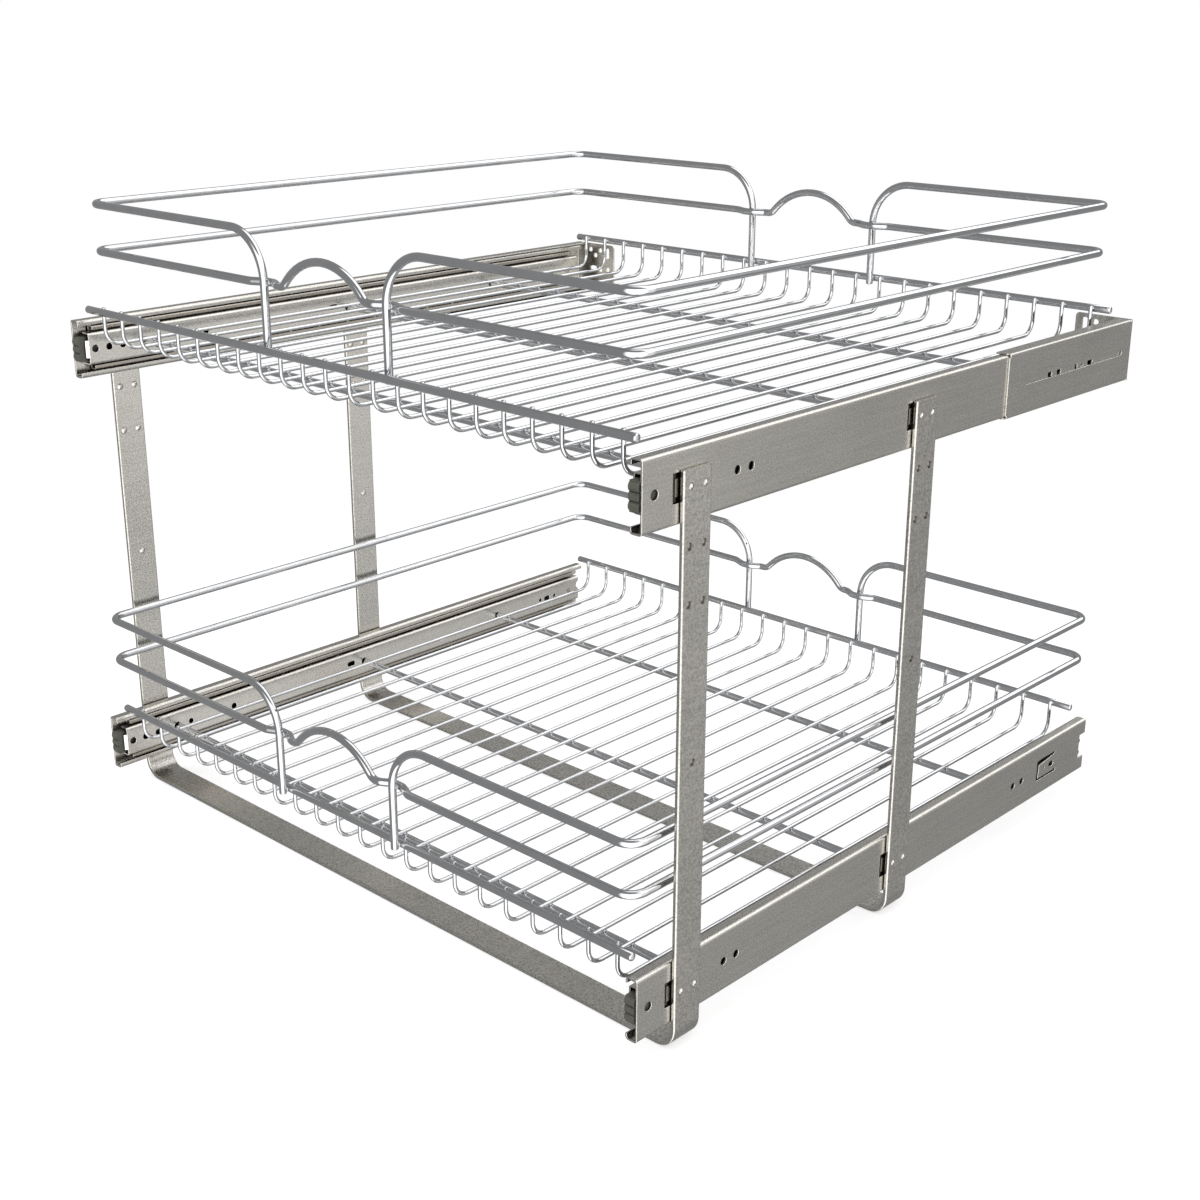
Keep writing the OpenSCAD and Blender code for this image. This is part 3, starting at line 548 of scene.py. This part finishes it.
def rounded(points, radii, closed=False, step=math.radians(6)):
    """A path through points with its corners rounded, as a list of vectors."""
    points = [Vector(p) for p in points]
    count = len(points)
    path = []
    for i, (here, radius) in enumerate(zip(points, radii)):
        if not closed and i in (0, count - 1):
            path.append(here)
            continue
        arrive = (here - points[i - 1]).normalized()
        leave = (points[(i + 1) % count] - here).normalized()
        turn = arrive.angle(leave)
        if turn < 1e-6 or radius <= 0:
            path.append(here)
            continue
        start = here - arrive * radius * math.tan(turn / 2)
        axis = arrive.cross(leave).normalized()
        centre = start + axis.cross(arrive) * radius
        steps = max(2, math.ceil(turn / step))
        for k in range(steps + 1):
            path.append(centre + Matrix.Rotation(turn * k / steps, 3, axis) @ (start - centre))
    return path


# Depth and width of the rings at a wire's end, as shares of its radius
DOMED = ((0, 0.35), (0.09, 0.72), (0.21, 0.93), (0.35, 1.0))
POINTED = ((0, 0.5), (0.48, 1.0))


def straight(start, end):
    """A straight path in short steps."""
    return [start.lerp(end, k / STRAIGHT_STEPS) for k in range(STRAIGHT_STEPS + 1)]


def tube(path, radius, sides, closed=False, ends=DOMED):
    """Vertices and faces of a round wire along a path; ends holds depth and width of an open end's rings."""
    count = len(path)
    stops = []
    for i, point in enumerate(path):
        before = path[i - 1] if closed or i else point
        after = path[(i + 1) % count] if closed or i < count - 1 else point
        stops.append((point, (after - before).normalized(), 1.0))
    if not closed:
        first, last = stops[0][1], stops[-1][1]
        head = [(path[0] + first * radius * depth, first, width) for depth, width in ends]
        tail = [(path[-1] - last * radius * depth, last, width) for depth, width in reversed(ends)]
        stops = head + stops[1:-1] + tail
        count = len(stops)
    vertices, faces, sides_at = [], [], []
    side = stops[0][1].orthogonal().normalized()
    for i, (place, tangent, width) in enumerate(stops):
        if i:
            side = stops[i - 1][1].rotation_difference(tangent) @ side
            side = (side - tangent * side.dot(tangent)).normalized()
        other = tangent.cross(side)
        sides_at.append(side.copy())
        for k in range(sides):
            angle = 2 * math.pi * k / sides
            vertices.append(place + (side * math.cos(angle) + other * math.sin(angle)) * radius * width)
    shift = 0
    if closed:
        home = stops[-1][1].rotation_difference(stops[0][1]) @ sides_at[-1]
        other = stops[0][1].cross(sides_at[0])
        shift = round(math.atan2(home.dot(other), home.dot(sides_at[0])) / (2 * math.pi) * sides)
    for i in range(count if closed else count - 1):
        j = (i + 1) % count
        turn = shift if j == 0 else 0
        for k in range(sides):
            a, b = i * sides + k, i * sides + (k + 1) % sides
            c, d = j * sides + (k + 1 + turn) % sides, j * sides + (k + turn) % sides
            faces.append((a, b, c, d))
    if not closed:
        faces.append(tuple(reversed(range(sides))))
        faces.append(tuple(range((count - 1) * sides, count * sides)))
    return vertices, faces


def nugget(centre, sizes, segments=10, rings=6):
    """Vertices and faces of a small flattened bead."""
    vertices, faces = [centre + Vector((0, 0, sizes[2]))], []
    for i in range(1, rings):
        polar = math.pi * i / rings
        for k in range(segments):
            angle = 2 * math.pi * k / segments
            vertices.append(centre + Vector((
                sizes[0] * math.sin(polar) * math.cos(angle),
                sizes[1] * math.sin(polar) * math.sin(angle),
                sizes[2] * math.cos(polar))))
    vertices.append(centre - Vector((0, 0, sizes[2])))
    for k in range(segments):
        faces.append((0, 1 + k, 1 + (k + 1) % segments))
        base = 1 + (rings - 2) * segments
        faces.append((len(vertices) - 1, base + (k + 1) % segments, base + k))
    for i in range(rings - 2):
        for k in range(segments):
            a = 1 + i * segments + k
            b = 1 + i * segments + (k + 1) % segments
            faces.append((a, a + segments, b + segments, b))
    return vertices, faces


def plate(centre, along, up, size, corner, edge=0.12 * MM, steps=5):
    """Vertices and faces of a small sheet with rounded corners; size is length, height and thickness."""
    along, up = along.normalized(), up.normalized()
    out = along.cross(up)
    rings = []
    face = size[2] / 2
    for inset, depth in ((edge, -face), (0, edge - face), (0, face - edge), (edge, face)):
        ring = []
        for turn, (a, b) in enumerate(((1, 1), (-1, 1), (-1, -1), (1, -1))):
            hub = Vector((a * (size[0] / 2 - corner), b * (size[1] / 2 - corner)))
            for k in range(steps + 1):
                angle = math.pi / 2 * (turn + k / steps)
                flat = hub + Vector((math.cos(angle), math.sin(angle))) * (corner - inset)
                ring.append(centre + along * flat.x + up * flat.y + out * depth)
        rings.append(ring)
    count = len(rings[0])
    vertices = [point for ring in rings for point in ring]
    faces = []
    last = count * (len(rings) - 1)
    for base in range(0, last, count):
        for k in range(count):
            after = (k + 1) % count
            faces.append((base + k, base + after, base + count + after, base + count + k))
    faces.append(tuple(reversed(range(count))))
    faces.append(tuple(range(last, last + count)))
    return vertices, faces


def joined(parts):
    """One list of vertices and one of faces from several."""
    vertices, faces = [], []
    for some_vertices, some_faces in parts:
        start = len(vertices)
        vertices += some_vertices
        faces += [tuple(start + index for index in face) for face in some_faces]
    return vertices, faces


def add_piece(name, parts, kind, body, replaced=(), crease=None):
    """Makes a smooth mesh object, gives it its finish and lets it ride on its body."""
    vertices, faces = joined(parts)
    mesh = bpy.data.meshes.new(name)
    mesh.from_pydata([tuple(v) for v in vertices], [], faces)
    mesh.validate()
    mesh.update()
    mesh.shade_smooth()
    if crease:
        mesh.set_sharp_from_angle(angle=crease)
    mesh.materials.append(finish_of(kind))
    piece = bpy.data.objects.new(name, mesh)
    bpy.context.scene.collection.objects.link(piece)
    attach(piece, body)
    if replaced:
        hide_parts(*replaced)


def add_wires(name, tier, parts, node):
    """Makes the chromed wires of a basket in the place of a CAD node."""
    add_piece(f"{tier}_{name}", parts, "chrome", f"{tier}_basket", [f"{tier}_{node}"])


# Paths of the wires, at the CAD's places


def wire_radius():
    return bpy.context.scene.basket_wires.heavy_diameter / 2


def floor_columns(tier):
    """Places of the floor wires across the basket."""
    settings = bpy.context.scene.basket_wires
    count = getattr(settings, tier + "_count")
    radius = settings.floor_diameter / 2
    left, right = low(tier + "_floor_wires").x + radius, high(tier + "_floor_wires").x - radius
    return [left + (right - left) * i / (count - 1) for i in range(count)]


def floor_paths(tier):
    settings = bpy.context.scene.basket_wires
    radius = settings.floor_diameter / 2
    a, b = low(tier + "_floor_wires"), high(tier + "_floor_wires")
    for x in floor_columns(tier):
        points = [(x, a.y + radius, b.z - settings.front_drop), (x, a.y + radius, a.z + radius),
                  (x, b.y - radius, a.z + radius), (x, b.y - radius, b.z - settings.rear_drop)]
        yield rounded(points, [0, settings.floor_bend, settings.floor_bend, 0])


def bar_places(tier):
    """Places of the three cross bars along the basket."""
    a, b = low(tier + "_cross_bars"), high(tier + "_cross_bars")
    front = a.y + wire_radius()
    return [front, front + bpy.context.scene.basket_wires.middle_bar, b.y - wire_radius()]


def post_planes(tier):
    """Front and rear planes of the posts."""
    return (low(tier + "_left_loop").y + wire_radius(), high(tier + "_left_loop").y - wire_radius())


def post_place(tier):
    return low(tier + "_right_loop").x + wire_radius()


def loop_path(tier, side):
    settings = bpy.context.scene.basket_wires
    a, b = low(f"{tier}_{side}_loop"), high(f"{tier}_{side}_loop")
    radius = wire_radius()
    post, bar = (b.x - radius, a.x + radius) if side == "left" else (a.x + radius, b.x - radius)
    front, rear = post_planes(tier)
    top = b.z - radius
    foot = a.z + (settings.lower_foot if tier == "lower" else 0)
    points = [(post, front, foot), (post, front, top), (bar, front, top),
              (bar, rear, top), (post, rear, top), (post, rear, foot)]
    bends = settings.post_bend, settings.corner_bend
    return rounded(points, [0, bends[0], bends[1], bends[1], bends[0], 0])


def ring_side(tier, y, inward):
    """Points and radii of the ring's front or rear, from left to right."""
    settings, grip = bpy.context.scene.basket_wires, bpy.context.scene.basket_grip
    z = low(tier + "_ring").z + wire_radius()
    inner = y + inward * (settings.heavy_diameter + settings.weld_gap)
    post = post_place(tier)
    rise = grip.half_width * math.tan(grip.slope)
    flank = grip.half_width / math.cos(grip.slope) - grip.foot_bend * math.tan(grip.slope / 2)
    arch = (flank - FLANK_STRAIGHT) / math.tan(grip.slope)
    half = [(grip.half_width, y, grip.foot_bend), (post - grip.joggle_in, y, INNER_JOGGLE_BEND),
            (post - grip.joggle_flat, inner, INNER_JOGGLE_BEND),
            (post + grip.joggle_flat, inner, OUTER_JOGGLE_BEND),
            (post + grip.joggle_out, y, OUTER_JOGGLE_BEND)]
    points = [(-x, place, z) for x, place, _ in reversed(half)]
    points += [(0, y, z + rise)] + [(x, place, z) for x, place, _ in half]
    radii = [bend for _, _, bend in half]
    return points, radii[::-1] + [arch] + radii


def ring_path(tier):
    settings = bpy.context.scene.basket_wires
    front, rear = post_planes(tier)
    edge = high(tier + "_ring").x - wire_radius()
    z = low(tier + "_ring").z + wire_radius()
    near, near_bends = ring_side(tier, front, 1)
    far, far_bends = ring_side(tier, rear, -1)
    points = [(-edge, front, z)] + near + [(edge, front, z), (edge, rear, z)] + far[::-1] + [(-edge, rear, z)]
    corner = settings.corner_bend
    radii = [corner] + near_bends + [corner, corner] + far_bends[::-1] + [corner]
    return rounded(points, radii, closed=True)


# Operators, one for each piece or group of like pieces


class BASKET_OT_floor_wires(bpy.types.Operator):
    """Bends the thin floor wires of both baskets"""

    bl_idname = "basket.floor_wires"
    bl_label = "Floor Wires"

    def execute(self, context):
        radius = context.scene.basket_wires.floor_diameter / 2
        for tier in TIERS:
            parts = [tube(path, radius, FLOOR_SIDES) for path in floor_paths(tier)]
            add_wires("bent_floor_wires", tier, parts, "floor_wires")
        return {"FINISHED"}


class BASKET_OT_rails(bpy.types.Operator):
    """Makes the front and rear rails of both baskets"""

    bl_idname = "basket.rails"
    bl_label = "Rails"

    def execute(self, context):
        for tier in TIERS:
            for end in ("front", "rear"):
                node = f"{tier}_{end}_rail"
                start, stop = middle(node), middle(node)
                start.x, stop.x = low(node).x, high(node).x
                parts = [tube(straight(start, stop), wire_radius(), HEAVY_SIDES)]
                add_wires(f"{end}_rail_rod", tier, parts, f"{end}_rail")
        return {"FINISHED"}


class BASKET_OT_cross_bars(bpy.types.Operator):
    """Makes the cross bars, whose pointed ends sit in the slides"""

    bl_idname = "basket.cross_bars"
    bl_label = "Cross Bars"

    def execute(self, context):
        for tier in TIERS:
            a, b = low(tier + "_cross_bars"), high(tier + "_cross_bars")
            z = (a.z + b.z) / 2
            parts = []
            for y in bar_places(tier):
                path = straight(Vector((a.x, y, z)), Vector((b.x, y, z)))
                parts.append(tube(path, wire_radius(), HEAVY_SIDES, ends=POINTED))
            add_wires("cross_rods", tier, parts, "cross_bars")
        return {"FINISHED"}


class BASKET_OT_loops(bpy.types.Operator):
    """Bends the top loops with their posts"""

    bl_idname = "basket.loops"
    bl_label = "Top Loops"

    def execute(self, context):
        for tier in TIERS:
            for side in SIDES:
                parts = [tube(loop_path(tier, side), wire_radius(), HEAVY_SIDES)]
                add_wires(f"{side}_top_loop", tier, parts, f"{side}_loop")
        return {"FINISHED"}


class BASKET_OT_rings(bpy.types.Operator):
    """Bends the middle rings with their joggles and hand grips"""

    bl_idname = "basket.rings"
    bl_label = "Middle Rings"

    def execute(self, context):
        for tier in TIERS:
            parts = [tube(ring_path(tier), wire_radius(), HEAVY_SIDES, closed=True)]
            add_wires("middle_ring", tier, parts, "ring")
        return {"FINISHED"}


class BASKET_OT_welds(bpy.types.Operator):
    """Puts a small weld where two wires cross"""

    bl_idname = "basket.welds"
    bl_label = "Welds"

    def execute(self, context):
        radius = wire_radius()
        for tier in TIERS:
            parts = []
            rails = [middle(f"{tier}_{end}_rail") for end in ("front", "rear")]
            bar_top = high(tier + "_cross_bars").z
            ring_z = low(tier + "_ring").z + radius
            for x in floor_columns(tier):
                for rail, inward in zip(rails, (1, -1)):
                    centre = Vector((x, rail.y + inward * radius, rail.z))
                    parts.append(nugget(centre, FLOOR_TO_RAIL_WELD))
                for y in bar_places(tier):
                    parts.append(nugget(Vector((x, y, bar_top)), FLOOR_TO_BAR_WELD))
            for post in (-post_place(tier), post_place(tier)):
                for plane, rail, inward in zip(post_planes(tier), rails, (1, -1)):
                    parts.append(nugget(Vector((post, (plane + rail.y) / 2, rail.z)), POST_WELD))
                    parts.append(nugget(Vector((post, plane + inward * radius, ring_z)), POST_WELD))
            add_piece(f"{tier}_welds", parts, "weld", f"{tier}_basket")
        return {"FINISHED"}


class BASKET_OT_slides(bpy.types.Operator):
    """Finishes the members, cages and balls of the slides"""

    bl_idname = "basket.slides"
    bl_label = "Slides"

    def execute(self, context):
        for tier in TIERS:
            for side in SIDES:
                slide = f"{tier}_{side}_"
                dress_nodes("strip", [slide + member for member in ("outer", "inner")])
                # The middle members are drawn darker, as painted shade
                dress_nodes("shaded_middle", [slide + "middle"])
                dress_nodes("cage", [slide + cage for cage in ("outer_cage", "inner_cage")])
                dress_nodes("ball", [slide + balls for balls in ("outer_balls", "inner_balls")])
        return {"FINISHED"}


class BASKET_OT_window_tabs(bpy.types.Operator):
    """Makes the tabs in the outer members' stop windows and the dark sheets of painted shade behind them"""

    bl_idname = "basket.window_tabs"
    bl_label = "Window Tabs"

    def execute(self, context):
        tabs = context.scene.basket_tabs
        size = (tabs.tab_length, tabs.tab_height, TAB_SHEET)
        parts, shade_sheets = [], []
        for tier in TIERS:
            for side, inward in zip(SIDES, (1, -1)):
                node = f"{tier}_{side}_outer"
                outside = low(node).x if side == "left" else high(node).x
                for strap in ("front_strap", "rear_strap"):
                    y = middle(strap).y - tabs.tab_back - tabs.tab_length / 2
                    centre = Vector((outside + inward * TAB_DEPTH, y, middle(node).z))
                    parts.append(plate(centre, BACK, UP, size, TAB_CORNER))
                    # Painted shade: a dark sheet behind each tab, where the slide's inside lies in shade
                    behind = centre + Vector((inward * SHADE_SHEET_DEPTH, -SHADE_SHEET_SHIFT, 0))
                    shade_sheets.append(plate(behind, BACK, UP, SHADE_SHEET_SIZE, TAB_CORNER))
        add_piece("window_tabs", parts, "tab", "frame", crease=CREASE)
        add_piece("window_shade_sheets", shade_sheets, "stop", "frame", crease=CREASE)
        return {"FINISHED"}


class BASKET_OT_front_lips(bpy.types.Operator):
    """Folds the lips at the front ends of the inner members, lighter as a painted highlight"""

    bl_idname = "basket.front_lips"
    bl_label = "Front Lips"

    def execute(self, context):
        tabs = context.scene.basket_tabs
        size = (tabs.lip_length, tabs.lip_height, LIP_SHEET)
        for tier in TIERS:
            parts = []
            for side, outward in zip(SIDES, (-1, 1)):
                node = f"{tier}_{side}_inner"
                face = high(node).x if side == "left" else low(node).x
                along = Vector((outward * math.sin(tabs.lip_turn), -math.cos(tabs.lip_turn), 0))
                root = Vector((face + outward * LIP_INSIDE, low(node).y + LIP_BEHIND, middle(node).z))
                parts.append(plate(root + along * tabs.lip_length / 2, along, UP, size, LIP_CORNER))
            add_piece(f"{tier}_front_lips", parts, "lip", f"{tier}_basket", crease=CREASE)
        return {"FINISHED"}


class BASKET_OT_bumpers(bpy.types.Operator):
    """Finishes the rubber bumpers"""

    bl_idname = "basket.bumpers"
    bl_label = "Bumpers"

    def execute(self, context):
        dress_nodes("rubber", [f"{tier}_{side}_bumper" for tier in TIERS for side in SIDES])
        return {"FINISHED"}


class BASKET_OT_straps(bpy.types.Operator):
    """Finishes the frame straps, their rivets and the rear brackets"""

    bl_idname = "basket.straps"
    bl_label = "Frame Straps"

    def execute(self, context):
        dress_nodes("bar", ["front_strap", "rear_strap"])
        dress_nodes("rivet", ["front_rivets", "rear_rivets"])
        dress_nodes("strip", [f"upper_{side}_bracket" for side in SIDES])
        return {"FINISHED"}


def aim(thing, target):
    """Turns a lamp towards a point."""
    thing.rotation_euler = (Vector(target) - thing.location).to_track_quat("-Z", "Y").to_euler()


def add_lamp(name, place, target, size, power):
    """Hangs up a softbox, with its size in metres and its power in watts."""
    lamp = bpy.data.lights.new(name, "AREA")
    lamp.shape = "RECTANGLE"
    lamp.size, lamp.size_y = size
    lamp.energy = power * bpy.context.scene.basket_stage.lamp_power
    thing = bpy.data.objects.new(name, lamp)
    thing.location = place
    aim(thing, target)
    # Metal mirrors the cards and walls of the room, and not the lamps
    thing.visible_glossy = False
    bpy.context.scene.collection.objects.link(thing)


class BASKET_OT_stage(bpy.types.Operator):
    """Sets up the floor, the room, the lamps and the camera"""

    bl_idname = "basket.stage"
    bl_label = "Studio Stage"

    def execute(self, context):
        scene, settings = context.scene, context.scene.basket_stage
        corners = [(x * PAPER_HALF, y * PAPER_HALF, 0) for x, y in ((-1, -1), (1, -1), (1, 1), (-1, 1))]
        mesh = bpy.data.meshes.new("floor")
        mesh.from_pydata(corners, [], [(0, 1, 2, 3)])
        mesh.materials.append(studio_paper())
        floor = bpy.data.objects.new("floor", mesh)
        floor.location.z = -PAPER_GAP
        # Polished wire mirrors the room under the table's edge, and not the sheet of paper
        floor.visible_glossy = False
        scene.collection.objects.link(floor)

        world = bpy.data.worlds.new("soft_room")
        scene.world = world
        world.use_nodes = True
        self.paint_room(world.node_tree, settings)

        target = (0, 0, 0.24)
        add_lamp("overhead_softbox", (0.2, -0.3, 2.4), target, (2.2, 2.2), 30)
        add_lamp("left_softbox", (-2.0, -1.6, 1.5), target, (0.9, 1.6), 18)

        lens = bpy.data.cameras.new("camera")
        lens.sensor_width = 36
        lens.lens = settings.lens
        camera = bpy.data.objects.new("camera", lens)
        a, e = settings.azimuth, settings.elevation
        back = Vector((math.sin(a) * math.cos(e), -math.cos(a) * math.cos(e), math.sin(e)))
        right = Vector((math.cos(a), math.sin(a), 0))
        up = back.cross(right)
        c, s = math.cos(settings.roll), math.sin(settings.roll)
        right, up = c * right + s * up, c * up - s * right
        turn = Matrix((right, up, back)).transposed()
        camera.matrix_world = Matrix.Translation(settings.camera_place) @ turn.to_4x4()
        scene.collection.objects.link(camera)
        scene.camera = camera
        scene.view_settings.view_transform = "Standard"
        return {"FINISHED"}

    def paint_room(self, tree, settings):
        """White to the camera, an even room to matt surfaces, grey walls with two white cards to metal."""
        tree.nodes.clear()
        rays = add_node(tree, "ShaderNodeLightPath")
        place = add_node(tree, "ShaderNodeTexCoord")
        side = add_node(tree, "ShaderNodeSeparateXYZ", links={"Vector": (place, "Generated")})
        smooth = {"interpolation_type": "SMOOTHSTEP"}
        # The large card hangs over the back of the unit and leans a little
        card_way, corner_way = (0.108, 0, 0.994), (0.707, -0.707, 0)
        height = add_node(tree, "ShaderNodeVectorMath", {"operation": "DOT_PRODUCT"}, {1: card_way},
                          {0: (place, "Generated")})
        above = add_node(tree, "ShaderNodeMapRange", smooth, {"From Min": 0.37, "From Max": 0.45},
                         {"Value": (height, "Value")})
        right = add_node(tree, "ShaderNodeMapRange", smooth, {"From Min": -0.42, "From Max": -0.30},
                         {"Value": (side, "X")})
        behind = add_node(tree, "ShaderNodeMapRange", smooth, {"From Min": 0.02, "From Max": 0.25},
                          {"Value": (side, "Y")})
        wide = add_node(tree, "ShaderNodeMath", {"operation": "MULTIPLY"},
                        links={0: (above, "Result"), 1: (right, "Result")})
        ceiling = add_node(tree, "ShaderNodeMath", {"operation": "MULTIPLY"},
                           links={0: (wide, "Value"), 1: (behind, "Result")})
        # The upright card stands in front of the right corner, from below the table's edge to halfway up
        flat = add_node(tree, "ShaderNodeVectorMath", {"operation": "MULTIPLY"}, {1: (1, 1, 0)},
                        {0: (place, "Generated")})
        around = add_node(tree, "ShaderNodeVectorMath", {"operation": "NORMALIZE"},
                          links={0: (flat, "Vector")})
        corner = add_node(tree, "ShaderNodeVectorMath", {"operation": "DOT_PRODUCT"}, {1: corner_way},
                          {0: (around, "Vector")})
        facing = add_node(tree, "ShaderNodeMapRange", smooth, {"From Min": 0.52, "From Max": 0.85},
                          {"Value": (corner, "Value")})
        below = add_node(tree, "ShaderNodeMapRange", smooth, {"From Min": 0.76, "From Max": 0.62},
                         {"Value": (side, "Z")})
        upright = add_node(tree, "ShaderNodeMath", {"operation": "MULTIPLY"},
                           links={0: (facing, "Result"), 1: (below, "Result")})
        cards = add_node(tree, "ShaderNodeMath", {"operation": "MAXIMUM"},
                         links={0: (ceiling, "Value"), 1: (upright, "Value")})
        # The wall at the right is the lighter one
        wall = add_node(tree, "ShaderNodeMapRange", smooth, {
            "From Min": 0.50, "From Max": 0.90,
            "To Min": settings.wall_level, "To Max": settings.wall_level * settings.right_wall},
            {"Value": (side, "X")})
        level = add_node(tree, "ShaderNodeMix", {"data_type": "FLOAT"}, {"B": settings.card_level},
                         {"Factor": (cards, "Value"), "A": (wall, "Result")})
        metal = add_node(tree, "ShaderNodeBackground", links={"Strength": (level, "Result")})
        room = add_node(tree, "ShaderNodeBackground", values={"Strength": settings.room_level})
        white = add_node(tree, "ShaderNodeBackground", values={"Strength": 1.0})
        for background in (metal, room, white):
            background.inputs["Color"].default_value = (1, 1, 1, 1)
        matt = add_node(tree, "ShaderNodeMixShader", links={
            0: (rays, "Is Glossy Ray"), 1: (room, "Background"), 2: (metal, "Background")})
        mix = add_node(tree, "ShaderNodeMixShader", links={
            0: (rays, "Is Camera Ray"), 1: (matt, "Shader"), 2: (white, "Background")})
        add_node(tree, "ShaderNodeOutputWorld", links={"Surface": (mix, "Shader")})


class BASKET_PT_panel(bpy.types.Panel):
    """Sizes, finishes and pieces of the baskets"""

    bl_label = "Wire Basket"
    bl_idname = "BASKET_PT_panel"
    bl_space_type = "VIEW_3D"
    bl_region_type = "UI"
    bl_category = "Wire Basket"

    def draw(self, context):
        for group in (getattr(context.scene, name) for name in GROUPS):
            section = self.layout.box()
            for name in group.__annotations__:
                section.prop(group, name)
        for operator in OPERATORS:
            self.layout.operator(operator.bl_idname)


GROUPS = {
    "basket_wires": WireSettings,
    "basket_grip": GripSettings,
    "basket_tabs": TabSettings,
    "basket_finish": FinishSettings,
    "basket_stage": StageSettings,
}
OPERATORS = (
    BASKET_OT_stage, BASKET_OT_straps, BASKET_OT_slides, BASKET_OT_window_tabs, BASKET_OT_front_lips,
    BASKET_OT_bumpers, BASKET_OT_floor_wires, BASKET_OT_rails, BASKET_OT_cross_bars, BASKET_OT_loops,
    BASKET_OT_rings, BASKET_OT_welds)


def register():
    for name, group in GROUPS.items():
        bpy.utils.register_class(group)
        setattr(bpy.types.Scene, name, PointerProperty(type=group))
    for operator in OPERATORS:
        bpy.utils.register_class(operator)
    bpy.utils.register_class(BASKET_PT_panel)


def unregister():
    bpy.utils.unregister_class(BASKET_PT_panel)
    for operator in reversed(OPERATORS):
        bpy.utils.unregister_class(operator)
    for name, group in reversed(GROUPS.items()):
        delattr(bpy.types.Scene, name)
        bpy.utils.unregister_class(group)


def main():
    register()
    for operator in OPERATORS:
        module, name = operator.bl_idname.split(".")
        getattr(getattr(bpy.ops, module), name)()


if __name__ == "__main__":
    main()
